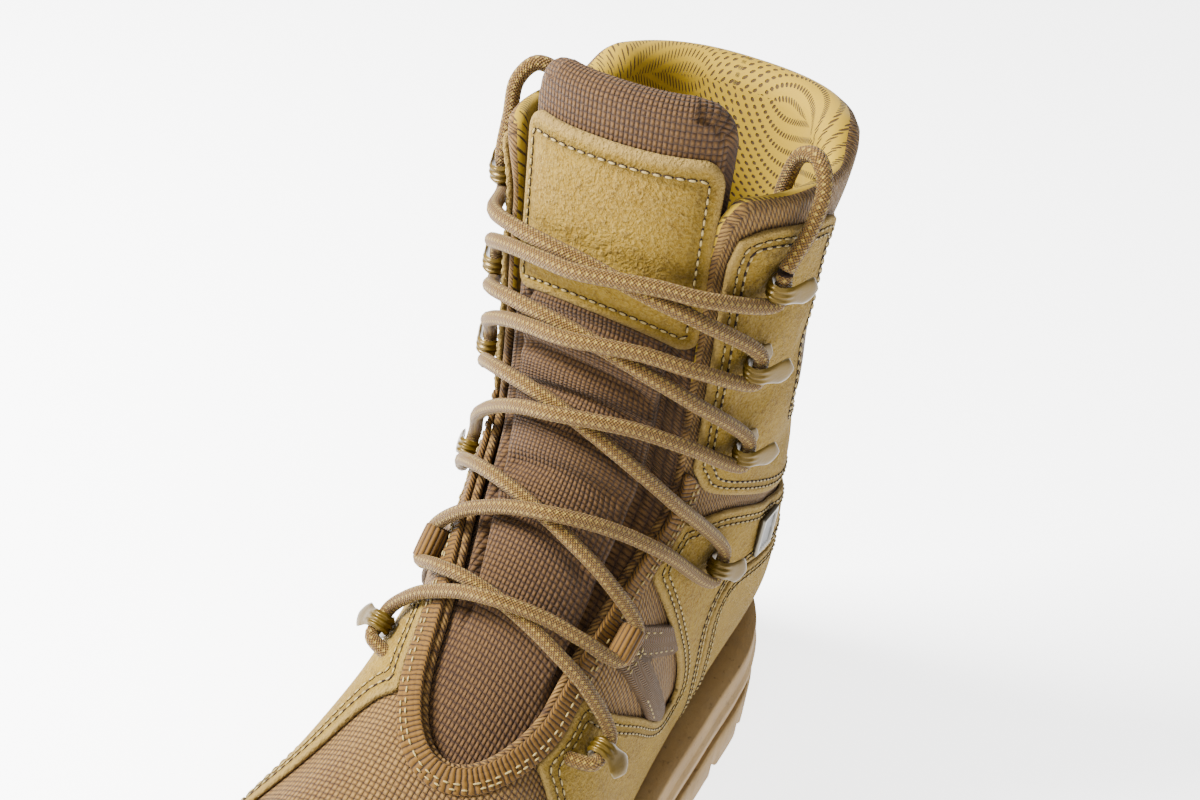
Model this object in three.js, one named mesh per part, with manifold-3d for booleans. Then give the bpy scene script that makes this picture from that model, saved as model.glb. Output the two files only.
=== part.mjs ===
// Tactical boot for the left foot, eight inches high, laced through hooks and loops.
// Millimetres, +X to the toe, +Y to the outer (lateral) side of the foot, +Z up.
// The origin is on the floor, under the middle of the sole.
import * as THREE from 'three';
import { mergeVertices } from 'three/addons/utils/BufferGeometryUtils.js';
import Module from 'manifold-3d';

const wasm = await Module();
wasm.setup();

// Last and upper
const LAST_LENGTH = 292;
const LAST_BALL_WIDTH = 104;
const COLLAR_FRONT_HEIGHT = 240;
const COLLAR_BACK_HEIGHT = 231;
const HEEL_SEAT = 33;
const BALL_SEAT = 18;
const TOE_SEAT = 30;
const WALL = 2.4;
const SUEDE = 1.6;
const TAPE = 1.4;
const FIT = 0.3;
const COLLAR_PAD = 7.5;
const COLLAR_SWELL = 2.6;
const BINDING_WIDTH = 6.5;
const LINING_EDGE = 2.5;

// Sole
const SOLE_MARGIN = 7.5;
const SOLE_SIDE_MARGIN = 5;
const SOLE_LENGTH = LAST_LENGTH + 2 * SOLE_MARGIN;
const SOLE_BALL_WIDTH = LAST_BALL_WIDTH + 2 * SOLE_SIDE_MARGIN;
const MIDSOLE_INSET = 1.6;
const MIDSOLE_RIB = 1.1;
const RIB_HEIGHT = 4;
const MIDSOLE_WEB_HEEL = 15;
const MIDSOLE_WEB_BALL = 7;
const CUP_LAP_HEEL = 9;
const CUP_LAP_BALL = 14;
const SUEDE_TUCK = 3;
const INSOLE_THICKNESS = 4.5;
const ARCH_RISE = 8;
const TOE_SPRING = 13;
const LUG_DEPTH = 5;
const LUG_GROOVE = 5;
const LUG_PITCH = 21;

// Tongue, lace and fittings
const TONGUE_THICKNESS = 8;
const TONGUE_STAND = 13;
const PATCH_HEIGHT = 46;
const PATCH_WIDTH = 54;
const LACE = 4;
const HOOK = { width: 8, reach: 7, strip: 1.3, lift: 1 };
const WEBBING_WIDTH = 9;
const TAG = { length: 9, height: 15, thickness: 1.5 };

// Outline of the sole, heel to toe, as shares of its length from the middle and of its half width
const OUTLINE = [
  { at: -0.5, medial: 0, lateral: 0 },
  { at: -0.487, medial: 0.37, lateral: 0.37 },
  { at: -0.452, medial: 0.6, lateral: 0.6 },
  { at: -0.385, medial: 0.745, lateral: 0.755 },
  { at: -0.275, medial: 0.775, lateral: 0.79 },
  { at: -0.16, medial: 0.755, lateral: 0.81 },
  { at: -0.05, medial: 0.775, lateral: 0.875 },
  { at: 0.055, medial: 0.855, lateral: 0.95 },
  { at: 0.16, medial: 0.955, lateral: 1 },
  { at: 0.255, medial: 1, lateral: 0.99 },
  { at: 0.34, medial: 0.98, lateral: 0.905 },
  { at: 0.405, medial: 0.89, lateral: 0.755 },
  { at: 0.452, medial: 0.7, lateral: 0.53 },
  { at: 0.486, medial: 0.4, lateral: 0.22 },
  { at: 0.5, medial: 0.1, lateral: -0.1 },
];

// Fan of sections through the upper, toe to collar. Each runs from the sole or back of the heel
// (back) to the instep or shin (front). x is a share of half the last's length. rise is a share
// of the height from the seat to the collar. medial and lateral are shares of half the ball width.
// belly is how far along the section it is widest. low and high are its corner powers.
const SECTIONS = [
  { backX: 1, backRise: 0.02, frontX: 1, frontRise: 0.108, medial: 0.12, lateral: 0.12,
    belly: 0.5, low: 2, high: 2 },
  { backX: 0.983, backRise: 0, frontX: 0.973, frontRise: 0.171, medial: 0.52, lateral: 0.3,
    belly: 0.45, low: 3, high: 2.2 },
  { backX: 0.938, backRise: 0, frontX: 0.918, frontRise: 0.212, medial: 0.765, lateral: 0.55,
    belly: 0.42, low: 4, high: 2.3 },
  { backX: 0.849, backRise: 0, frontX: 0.808, frontRise: 0.248, medial: 0.923, lateral: 0.765,
    belly: 0.4, low: 4.5, high: 2.3 },
  { backX: 0.712, backRise: 0, frontX: 0.644, frontRise: 0.279, medial: 0.992, lateral: 0.913,
    belly: 0.38, low: 5, high: 2.2 },
  { backX: 0.534, backRise: 0, frontX: 0.451, frontRise: 0.313, medial: 1, lateral: 1,
    belly: 0.36, low: 5, high: 2.1 },
  { backX: 0.329, backRise: 0, frontX: 0.299, frontRise: 0.355, medial: 0.917, lateral: 1,
    belly: 0.36, low: 5, high: 2.05 },
  { backX: 0.11, backRise: 0, frontX: 0.157, frontRise: 0.412, medial: 0.794, lateral: 0.931,
    belly: 0.36, low: 5, high: 2.05 },
  { backX: -0.11, backRise: 0, frontX: 0.008, frontRise: 0.475, medial: 0.713, lateral: 0.84,
    belly: 0.38, low: 5, high: 2.1 },
  { backX: -0.342, backRise: 0, frontX: -0.101, frontRise: 0.538, medial: 0.692, lateral: 0.769,
    belly: 0.4, low: 4.5, high: 2.1 },
  { backX: -0.603, backRise: 0, frontX: -0.186, frontRise: 0.601, medial: 0.715, lateral: 0.744,
    belly: 0.42, low: 4, high: 2.15 },
  { backX: -0.885, backRise: 0, frontX: -0.249, frontRise: 0.659, medial: 0.756, lateral: 0.756,
    belly: 0.42, low: 3.2, high: 2.2 },
  { backX: -0.985, backRise: 0.06, frontX: -0.274, frontRise: 0.703, medial: 0.765, lateral: 0.788,
    belly: 0.42, low: 2.8, high: 2.25 },
  { backX: -0.991, backRise: 0.197, frontX: -0.29, frontRise: 0.748, medial: 0.758, lateral: 0.802,
    belly: 0.44, low: 2.6, high: 2.3 },
  { backX: -0.954, backRise: 0.379, frontX: -0.3, frontRise: 0.802, medial: 0.733, lateral: 0.796,
    belly: 0.46, low: 2.5, high: 2.35 },
  { backX: -0.918, backRise: 0.571, frontX: -0.308, frontRise: 0.869, medial: 0.715, lateral: 0.8,
    belly: 0.48, low: 2.4, high: 2.4 },
  { backX: -0.911, backRise: 0.783, frontX: -0.312, frontRise: 0.937, medial: 0.702, lateral: 0.802,
    belly: 0.5, low: 2.4, high: 2.4 },
  { backX: -0.938, backRise: 1, frontX: -0.315, frontRise: 1, medial: 0.713, lateral: 0.821,
    belly: 0.5, low: 2.4, high: 2.4 },
  { backX: -0.952, backRise: 1.14, frontX: -0.318, frontRise: 1.09, medial: 0.73, lateral: 0.84,
    belly: 0.5, low: 2.4, high: 2.4 },
];
const COLLAR_STATION = 17;
const RING_POINTS = 20;
const RING_STATIONS = [0, 0.5, 1, 1.8, 2.8, 4, 5.3, 6.6, 7.7, 8.7, 9.7, 10.6, 11.4, 12.2, 13.2, 14.5, 15.8,
  16.4, 17, 18];

// Throat: its edges along the sections, as shares of half the ball width
const THROAT = [
  { station: 7, medial: -0.08, lateral: 0.5 },
  { station: 8, medial: -0.16, lateral: 0.53 },
  { station: 9, medial: -0.28, lateral: 0.53 },
  { station: 10, medial: -0.41, lateral: 0.55 },
  { station: 11, medial: -0.51, lateral: 0.58 },
  { station: 12, medial: -0.57, lateral: 0.6 },
  { station: 14, medial: -0.58, lateral: 0.6 },
  { station: 16, medial: -0.58, lateral: 0.6 },
  { station: 16.6, medial: -0.59, lateral: 0.62 },
  { station: 17, medial: -0.64, lateral: 0.68 },
  { station: 17.5, medial: -0.76, lateral: 0.84 },
  { station: 18.5, medial: -0.95, lateral: 1.05 },
];
const THROAT_TOE = 6.95;
const THROAT_ROUND = 1.1;

// Fittings on each side, toe to collar: station on the fan and share of half the ball width
const FITTINGS = [
  { kind: 'hook', lateral: [8.2, 0.7], medial: [8.05, -0.45] },
  { kind: 'loop', lateral: [9.35, 0.6], medial: [9.2, -0.42] },
  { kind: 'hook', lateral: [11.05, 0.71], medial: [10.95, -0.65] },
  { kind: 'hook', lateral: [13.5, 0.73], medial: [13.45, -0.68] },
  { kind: 'hook', lateral: [14.85, 0.73], medial: [14.85, -0.68] },
  { kind: 'hook', lateral: [15.95, 0.75], medial: [16.05, -0.68] },
];

const half = LAST_LENGTH / 2;
const ball = LAST_BALL_WIDTH / 2;
const clamp01 = (value) => Math.min(1, Math.max(0, value));
const smooth = (value) => clamp01(value) * clamp01(value) * (3 - 2 * clamp01(value));
const mix = (from, to, share) => from + (to - from) * share;

// Catmull-Rom value of one column of a table at a fractional row
function rowValue(table, column, at) {
  const last = table.length - 1;
  const place = Math.min(last - 1e-9, Math.max(0, at));
  const row = Math.floor(place);
  const share = place - row;
  const pick = (index) => {
    if (index < 0) return 2 * table[0][column] - table[1][column];
    if (index > last) return 2 * table[last][column] - table[last - 1][column];
    return table[index][column];
  };
  const [a, b, c, d] = [pick(row - 1), pick(row), pick(row + 1), pick(row + 2)];
  const cubic = 3 * (b - c) + d - a;
  const square = 2 * a - 5 * b + 4 * c - d;
  return 0.5 * (2 * b + (c - a) * share + square * share ** 2 + cubic * share ** 3);
}

// Value of a column against another column that rises down the table
function lookUp(table, key, column, at) {
  let row = 0;
  while (row < table.length - 2 && table[row + 1][key] < at) row += 1;
  const share = clamp01((at - table[row][key]) / (table[row + 1][key] - table[row][key]));
  return mix(table[row][column], table[row + 1][column], share);
}

// Height of the footbed's seat above the floor
const BALL_AT = 0.425 * half;
const HEEL_AT = -0.85 * half;
function seat(x) {
  if (x < BALL_AT) return mix(BALL_SEAT, HEEL_SEAT, smooth((BALL_AT - x) / (BALL_AT - HEEL_AT)));
  return mix(BALL_SEAT, TOE_SEAT, clamp01((x - BALL_AT) / (half - BALL_AT)) ** 2.5);
}

// The two ends of one section of the fan, and its shape
function section(station) {
  const value = (column) => rowValue(SECTIONS, column, station);
  const backX = value('backX') * half;
  return {
    backX,
    backZ: mix(seat(backX), COLLAR_BACK_HEIGHT, Math.max(0, value('backRise'))),
    frontX: value('frontX') * half,
    frontZ: mix(BALL_SEAT, COLLAR_FRONT_HEIGHT, value('frontRise')),
    medial: value('medial') * ball,
    lateral: value('lateral') * ball,
    belly: value('belly'),
    low: value('low'),
    high: value('high'),
  };
}

// Point of the last's outer form. angle 0 is at the back or sole, PI at the front, lateral first
function formPoint(station, angle) {
  const cut = section(station);
  const cosine = Math.cos(angle);
  const sine = Math.sin(angle);
  const power = 2 / (cosine > 0 ? cut.low : cut.high);
  const along = cosine > 0
    ? cut.belly * (1 - Math.abs(cosine) ** power)
    : mix(cut.belly, 1, Math.abs(cosine) ** power);
  const width = sine >= 0 ? cut.lateral : cut.medial;
  return new THREE.Vector3(
    mix(cut.backX, cut.frontX, along),
    width * Math.abs(sine) ** power * Math.sign(sine),
    mix(cut.backZ, cut.frontZ, along),
  );
}

function formNormal(station, angle) {
  const turn = 0.03;
  const step = 0.06;
  const low = Math.max(0, station - step);
  const around = formPoint(station, angle + turn).sub(formPoint(station, angle - turn));
  const along = formPoint(station + step, angle).sub(formPoint(low, angle));
  return along.cross(around).normalize();
}


// Point on the front of the form at a sideways place, lifted off it by an offset
function frontAngle(station, y) {
  const cut = section(station);
  const share = Math.min(0.995, Math.abs(y) / (y > 0 ? cut.lateral : cut.medial));
  const angle = Math.PI - Math.asin(share ** (cut.high / 2));
  return y > 0 ? angle : 2 * Math.PI - angle;
}
function frontPoint(station, y, offset) {
  const angle = frontAngle(station, y);
  return formPoint(station, angle).addScaledVector(formNormal(station, angle), offset);
}

// A solid for joining and cutting, from vertices and triangles
function solidOf(points, triangles) {
  const geometry = new THREE.BufferGeometry();
  const numbers = points.flatMap((point) => [point.x, point.y, point.z]);
  geometry.setAttribute('position', new THREE.Float32BufferAttribute(numbers, 3));
  geometry.setIndex(triangles);
  return solidFrom(geometry);
}
function solidFrom(geometry) {
  const bare = geometry.clone();
  bare.deleteAttribute('normal');
  bare.deleteAttribute('uv');
  const merged = mergeVertices(bare, 1e-4);
  const solid = new wasm.Manifold(new wasm.Mesh({
    numProp: 3,
    vertProperties: new Float32Array(merged.attributes.position.array),
    triVerts: new Uint32Array(merged.index.array),
  }));
  return solid;
}

// A skin that came out inside out is turned round
function orient(solid) {
  if (solid.volume() >= 0) return solid;
  const mesh = solid.getMesh();
  const turned = new Uint32Array(mesh.triVerts.length);
  for (let index = 0; index < turned.length; index += 3) {
    turned[index] = mesh.triVerts[index];
    turned[index + 1] = mesh.triVerts[index + 2];
    turned[index + 2] = mesh.triVerts[index + 1];
  }
  const { vertProperties } = mesh;
  return new wasm.Manifold(new wasm.Mesh({ numProp: 3, vertProperties, triVerts: turned }));
}

// Closed skin through a list of rings with as many points each, capped at both ends. Rings that run
// back along the form, from turnedFrom on, keep the diagonals of those that run forward
function skin(rings, turnedFrom = rings.length) {
  const count = rings[0].length;
  const points = rings.flat();
  const triangles = [];
  for (let ring = 0; ring < rings.length - 1; ring += 1) {
    for (let index = 0; index < count; index += 1) {
      const here = ring * count + index;
      const next = ring * count + ((index + 1) % count);
      if (ring < turnedFrom) triangles.push(here, next, next + count, here, next + count, here + count);
      else triangles.push(here, next, here + count, next, next + count, here + count);
    }
  }
  const total = (ring) => ring.reduce((sum, point) => sum.add(point), new THREE.Vector3());
  const middle = (ring) => total(ring).divideScalar(count);
  const first = points.length;
  points.push(middle(rings[0]), middle(rings[rings.length - 1]));
  const lastRing = (rings.length - 1) * count;
  for (let index = 0; index < count; index += 1) {
    const next = (index + 1) % count;
    triangles.push(first, next, index);
    triangles.push(first + 1, lastRing + index, lastRing + next);
  }
  return orient(solidOf(points, triangles));
}

function ringAt(station, offset, rise = 0) {
  const ring = [];
  for (let index = 0; index < RING_POINTS; index += 1) {
    const angle = (index / RING_POINTS) * 2 * Math.PI;
    const lift = typeof offset === 'function' ? offset(station, angle) : offset;
    const up = typeof rise === 'function' ? rise(angle) : rise;
    const point = formPoint(station, angle).addScaledVector(formNormal(station, angle), lift);
    ring.push(point.add(new THREE.Vector3(0, 0, up)));
  }
  return ring;
}

// The whole last grown or shrunk by an offset, as one filled solid for cutting
function form(offset, swollen = () => 0) {
  const start = offset < -3 ? 0.5 : 0;
  const used = RING_STATIONS.filter((station) => station >= start);
  return skin(used.map((station) => ringAt(station, offset + swollen(station))));
}
const shell = (outer, inner, swollen) => form(outer, swollen).subtract(form(inner, swollen));

// The padded collar swells out of the form near its top
const SWELL_FROM = 15.8;
const swell = (station) => smooth((station - SWELL_FROM) / 1.1);
const collarSwell = (station) => COLLAR_SWELL * swell(station);

// Prism along Y over a side outline given as x and z pairs
function sidePrism(outline, fromY, toY) {
  const shape = new THREE.Shape(outline.map(([x, z]) => new THREE.Vector2(x, z)));
  const geometry = new THREE.ExtrudeGeometry(shape, { depth: toY - fromY, bevelEnabled: false });
  geometry.rotateX(Math.PI / 2);
  geometry.translate(0, toY, 0);
  return solidFrom(geometry);
}
function planPrism(outline, fromZ, toZ) {
  const shape = new THREE.Shape(outline.map(([x, y]) => new THREE.Vector2(x, y)));
  const geometry = new THREE.ExtrudeGeometry(shape, { depth: toZ - fromZ, bevelEnabled: false });
  geometry.translate(0, 0, fromZ);
  return solidFrom(geometry);
}

// Smooth side outline: hand-set corners, with the stretches between them rounded
function smoothOutline(points, steps) {
  const corners = points.map(([x, z]) => new THREE.Vector3(x, z, 0));
  const curve = new THREE.CatmullRomCurve3(corners, true, 'centripetal');
  return curve.getPoints(steps).slice(0, -1).map((point) => [point.x, point.y]);
}

// Cutter through the throat, grown sideways by a margin
function throatEdge(station, side, margin) {
  const share = lookUp(THROAT, 'station', side, station);
  return share * ball + (side === 'lateral' ? margin : -margin);
}
function throatCutter(margin, top = 18.4, insideDepth = 0.3, outsideReach = 1.6) {
  const start = THROAT_TOE - margin / (0.11 * half);
  const stations = [0.02, 0.1, 0.3, 0.6, 1].map((share) => start + THROAT_ROUND * share);
  for (let station = start + THROAT_ROUND + 0.6; station < top; station += 0.9) stations.push(station);
  stations.push(top);
  const rings = stations.map((station) => {
    const round = Math.min(1, (station - start) / THROAT_ROUND);
    const open = Math.sqrt(1 - (1 - round) ** 2);
    const lateral = throatEdge(Math.max(station, THROAT_TOE), 'lateral', margin);
    const medial = throatEdge(Math.max(station, THROAT_TOE), 'medial', margin);
    const centre = (lateral + medial) / 2;
    const reach = ((lateral - medial) / 2) * open;
    const cut = section(station);
    const corner = (along, y) => new THREE.Vector3(
      mix(cut.backX, cut.frontX, along), y, mix(cut.backZ, cut.frontZ, along),
    );
    return [
      corner(insideDepth, centre - reach), corner(insideDepth, centre + reach),
      corner(outsideReach, centre + reach), corner(outsideReach, centre - reach),
    ];
  });
  return skin(rings);
}

const boot = new THREE.Group();
const suedeFinish = { color: 0x9c8557, roughness: 0.95, metalness: 0 };
const corduraFinish = { color: 0x8a6c52, roughness: 0.85, metalness: 0 };
const webbingFinish = { color: 0x6b5230, roughness: 0.85, metalness: 0 };
const laceFinish = { color: 0xb8935a, roughness: 0.8, metalness: 0 };
const hookFinish = { color: 0x8c7340, roughness: 0.4, metalness: 0.5 };
const soleFinish = { color: 0x8f7a62, roughness: 0.8, metalness: 0 };

// The largest body of a solid, so that slivers left by a cut are dropped
function mainBody(solid) {
  const bodies = solid.decompose();
  return bodies.reduce((best, body) => (body.volume() > best.volume() ? body : best));
}
function addPiece(name, solid, finish) {
  const mesh = mainBody(solid).getMesh();
  const geometry = new THREE.BufferGeometry();
  geometry.setAttribute('position', new THREE.BufferAttribute(new Float32Array(mesh.vertProperties), 3));
  geometry.setIndex(new THREE.BufferAttribute(new Uint32Array(mesh.triVerts), 1));
  geometry.computeVertexNormals();
  const piece = new THREE.Mesh(geometry, new THREE.MeshStandardMaterial(finish));
  piece.name = name;
  boot.add(piece);
}

// Sole: outline, cup and lugs
function soleOutline(inset) {
  const x = (row) => row.at * SOLE_LENGTH;
  const y = (row, side) => row[side] * (SOLE_BALL_WIDTH / 2);
  const inner = OUTLINE.slice(1, -1);
  const loop = [
    [x(OUTLINE[0]), 0],
    ...inner.map((row) => [x(row), -y(row, 'medial')]),
    [x(OUTLINE[OUTLINE.length - 1]), -y(OUTLINE[OUTLINE.length - 1], 'medial')],
    ...inner.slice().reverse().map((row) => [x(row), y(row, 'lateral')]),
  ];
  const corners = loop.map(([px, py]) => new THREE.Vector3(px, py, 0));
  const curve = new THREE.CatmullRomCurve3(corners, true, 'centripetal');
  const points = curve.getPoints(40).slice(0, -1);
  return points.map((point, index) => {
    const before = points[(index + points.length - 1) % points.length];
    const after = points[(index + 1) % points.length];
    const normal = new THREE.Vector3(after.y - before.y, before.x - after.x, 0).normalize();
    return [point.x - normal.x * inset, point.y - normal.y * inset];
  });
}
const soleHalf = SOLE_LENGTH / 2;
const sweep = (from, to, steps) => (
  Array.from({ length: steps + 1 }, (_, index) => mix(from, to, index / steps)));
const towardHeel = (x) => smooth((BALL_AT - x) / (BALL_AT - HEEL_AT));
const splitHeight = (x) => seat(x) - mix(MIDSOLE_WEB_BALL, MIDSOLE_WEB_HEEL, towardHeel(x));
const rimHeight = (x) => seat(x) + mix(CUP_LAP_BALL, CUP_LAP_HEEL, towardHeel(x));
const HEEL_BREAST = -0.19 * SOLE_LENGTH;
const TREAD_REAR = 0.03 * SOLE_LENGTH;
const TREAD_FRONT = 0.27 * SOLE_LENGTH;
const HEEL_BEVEL = 3;
const HEEL_BEVEL_RUN = 10;
const SPRING_STEP = 10;
const ABOVE_CUP = 70;
const BREAST_RUN = 8;
function floorHeight(x) {
  if (x > TREAD_FRONT) return TOE_SPRING * ((x - TREAD_FRONT) / (soleHalf - TREAD_FRONT)) ** 1.6;
  const intoArch = Math.min((x - HEEL_BREAST) / BREAST_RUN, (TREAD_REAR - x) / (3 * BREAST_RUN));
  if (intoArch > 0) return ARCH_RISE * smooth(intoArch);
  const overBevel = -soleHalf + HEEL_BEVEL_RUN - x;
  return overBevel > 0 ? HEEL_BEVEL * (overBevel / HEEL_BEVEL_RUN) : 0;
}
const BEYOND = 6;
const floorStations = [
  -soleHalf - BEYOND, -soleHalf + HEEL_BEVEL_RUN,
  HEEL_BREAST, HEEL_BREAST + BREAST_RUN / 2, HEEL_BREAST + BREAST_RUN,
  TREAD_REAR - 3 * BREAST_RUN, TREAD_REAR - 1.5 * BREAST_RUN, TREAD_REAR, TREAD_FRONT,
  ...sweep(TREAD_FRONT + SPRING_STEP, soleHalf + BEYOND, 6),
];
const sideBand = (stations, low, high) => sidePrism([
  ...stations.map((x) => [x, low(x)]),
  ...stations.slice().reverse().map((x) => [x, high(x)]),
], -SOLE_BALL_WIDTH, SOLE_BALL_WIDTH);
const stations = sweep(-soleHalf - BEYOND, soleHalf + BEYOND, 14);
const deep = () => -20;

const soleBlock = planPrism(soleOutline(0), -1, ABOVE_CUP);
const underSplit = sideBand(stations, deep, splitHeight);
const aboveFloor = sideBand(floorStations, floorHeight, () => ABOVE_CUP);
const outsoleBlank = soleBlock.intersect(underSplit).intersect(aboveFloor);

// Lugs: rows of three blocks, slanted to the rear, with the outer ones running to the edge
function lugBlocks() {
  const blocks = [];
  const rows = Math.floor(SOLE_LENGTH / LUG_PITCH);
  for (let row = 0; row <= rows; row += 1) {
    const middle = -soleHalf + LUG_PITCH * (row + 0.55);
    const onArch = middle > HEEL_BREAST - LUG_PITCH / 4 && middle < TREAD_REAR;
    if (!onArch) {
      const long = (LUG_PITCH - LUG_GROOVE) / 2;
      const centreWidth = SOLE_BALL_WIDTH * 0.16;
      const slant = LUG_PITCH * 0.25;
      const nose = LUG_PITCH * 0.3;
      blocks.push([
        [middle - long, -centreWidth], [middle - long + nose, 0], [middle - long, centreWidth],
        [middle + long, centreWidth], [middle + long + nose, 0], [middle + long, -centreWidth],
      ]);
      for (const side of [-1, 1]) {
        const inner = side * (centreWidth + LUG_GROOVE);
        const outer = side * SOLE_BALL_WIDTH;
        const reach = slant * 3;
        blocks.push([
          [middle - long, inner], [middle + long, inner],
          [middle + long - reach * 0.5, outer], [middle - long - reach * 0.5, outer],
        ]);
      }
    }
  }
  return blocks.map((outline) => {
    const area = THREE.ShapeUtils.area(outline.map(([x, y]) => new THREE.Vector2(x, y)));
    return planPrism(area > 0 ? outline : outline.slice().reverse(), -2, 60);
  });
}
const treadBand = sideBand(floorStations, deep, (x) => floorHeight(x) + LUG_DEPTH);
const archKeep = planPrism([
  [HEEL_BREAST, -SOLE_BALL_WIDTH], [TREAD_REAR - LUG_PITCH / 2, -SOLE_BALL_WIDTH],
  [TREAD_REAR - LUG_PITCH / 2, SOLE_BALL_WIDTH], [HEEL_BREAST, SOLE_BALL_WIDTH],
], -2, 60);
const grooves = treadBand.subtract(wasm.Manifold.union([...lugBlocks(), archKeep]));
addPiece('outsole', outsoleBlank.subtract(grooves), soleFinish);

// Midsole: a cup with a lengthwise rib on its side
const overSplit = sideBand(stations, (x) => splitHeight(x) + FIT, rimHeight);
const ribAt = (share) => (x) => splitHeight(x) + share * RIB_HEIGHT;
const ribBand = sideBand(stations, ribAt(1), ribAt(2));
const midsoleBlank = planPrism(soleOutline(MIDSOLE_INSET), -1, ABOVE_CUP).intersect(overSplit);
const midsoleRib = planPrism(soleOutline(MIDSOLE_INSET - MIDSOLE_RIB), -1, ABOVE_CUP).intersect(ribBand);
addPiece('midsole', midsoleBlank.add(midsoleRib).subtract(form(FIT)), { ...soleFinish, color: 0x7f6a52 });

// Insole: board and footbed, filling the cup up to the lower edge of the upper
const insoleBand = sideBand(stations, deep, (x) => seat(x) + INSOLE_THICKNESS);
addPiece('insole', form(0).intersect(insoleBand), { color: 0x4a4038, roughness: 0.9, metalness: 0 });

// Upper: one wall from the insole's edge to a padded, rounded collar, open at the throat
const VAMP_SEAM = 0.28 * half;
const UPPER_FACE = -(SUEDE + FIT);
const PAD_FADE = 1.1;
const sidePad = (angle) => {
  const fromBack = Math.min(angle, 2 * Math.PI - angle);
  return 1 - smooth((fromBack - PAD_FADE) / 0.45);
};
const upperOuter = (station) => UPPER_FACE + collarSwell(station);
const upperInner = (station, angle) => UPPER_FACE - WALL - COLLAR_PAD * swell(station) * sidePad(angle);
function upperWall() {
  const outerStations = RING_STATIONS.filter((station) => station <= COLLAR_STATION);
  const rings = outerStations.map((station) => ringAt(station, upperOuter));
  for (const turn of [0.25, 0.5, 0.75]) {
    const round = Math.sin(turn * Math.PI);
    const across = (1 - Math.cos(turn * Math.PI)) / 2;
    const offset = (station, angle) => mix(upperOuter(station), upperInner(station, angle), across);
    const rise = (angle) => round * 0.5 * (upperOuter(COLLAR_STATION) - upperInner(COLLAR_STATION, angle));
    rings.push(ringAt(COLLAR_STATION, offset, rise));
  }
  const turnedFrom = rings.length;
  const innerStations = outerStations.filter((station) => station >= 0.5).reverse();
  innerStations.forEach((station) => rings.push(ringAt(station, upperInner)));
  return skin(rings, turnedFrom);
}
const upperFloor = sideBand(stations, deep, (x) => seat(x) + INSOLE_THICKNESS + FIT);
const throat = throatCutter(0);
const openWall = upperWall().subtract(throat).subtract(upperFloor);
// The vamp, its toe end, is a panel of its own, sewn on across the foot under the suede
const aheadOf = (x) => sidePrism([[x, -1], [LAST_LENGTH, -1], [LAST_LENGTH, 300], [x, 300]],
  -SOLE_BALL_WIDTH, SOLE_BALL_WIDTH);
addPiece('upper', openWall.subtract(aheadOf(VAMP_SEAM - FIT / 2)), corduraFinish);
addPiece('vamp', openWall.intersect(aheadOf(VAMP_SEAM + FIT / 2)), corduraFinish);

// Tongue: padded, sewn under the toe end of the throat and standing above the collar
const TONGUE_FACE = UPPER_FACE - WALL - FIT;
const TONGUE_SHIFT = 3;
const TONGUE_OVERLAP = 5;
const TONGUE_CLEAR = 3;
const TONGUE_TOP = COLLAR_STATION + TONGUE_STAND / 17;
function strip(stationsAlong, edges, inside, outside) {
  return skin(stationsAlong.map((station) => {
    const [low, high] = edges(station);
    const cut = section(station);
    const corner = (along, y) => new THREE.Vector3(
      mix(cut.backX, cut.frontX, along), y, mix(cut.backZ, cut.frontZ, along),
    );
    return [corner(inside, low), corner(inside, high), corner(outside, high), corner(outside, low)];
  }));
}
function tongueEdges(station) {
  const round = clamp01((TONGUE_TOP - station) / 0.35);
  const corner = 7 * (1 - Math.sqrt(1 - (1 - round) ** 2));
  const shaft = Math.min(station, 14);
  const tuck = mix(TONGUE_OVERLAP, -TONGUE_CLEAR, smooth((station - 14) / 1.2));
  const low = throatEdge(shaft, 'medial', tuck) + TONGUE_SHIFT;
  const high = throatEdge(shaft, 'lateral', tuck) + TONGUE_SHIFT;
  return [low + corner, high - corner];
}
const tongueStations = [...sweep(6.5, TONGUE_TOP - 0.35, 16), ...sweep(TONGUE_TOP - 0.28, TONGUE_TOP, 4)];
const TONGUE_INNER = 0.72;
const tongueStrip = strip(tongueStations, tongueEdges, TONGUE_INNER, 1.4);
const tongueBody = shell(TONGUE_FACE, TONGUE_FACE - TONGUE_THICKNESS).intersect(tongueStrip);
addPiece('tongue', tongueBody, corduraFinish);

// Patch of suede sewn on the tongue's face, under its top edge
const PATCH_TOP = COLLAR_STATION + 0.35;
const PATCH_BOTTOM = PATCH_TOP - PATCH_HEIGHT / 16;
function patchEdges(station) {
  const fromEnd = Math.min(PATCH_TOP - station, station - PATCH_BOTTOM);
  const round = clamp01(fromEnd / 0.35);
  const corner = 5 * (1 - Math.sqrt(1 - (1 - round) ** 2));
  const centre = TONGUE_SHIFT + 1;
  return [centre - PATCH_WIDTH / 2 + corner, centre + PATCH_WIDTH / 2 - corner];
}
const patchEnds = [0, 0.06, 0.15, 0.3];
const patchStations = [
  ...patchEnds.map((share) => PATCH_BOTTOM + share),
  ...sweep(PATCH_BOTTOM + 0.7, PATCH_TOP - 0.7, 2),
  ...patchEnds.slice().reverse().map((share) => PATCH_TOP - share),
];
const patchStrip = strip(patchStations, patchEdges, TONGUE_INNER, 1.4);
const patchLayer = shell(TONGUE_FACE + FIT + SUEDE, TONGUE_FACE + FIT);
addPiece('tongue_patch', patchLayer.intersect(patchStrip), suedeFinish);

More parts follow.
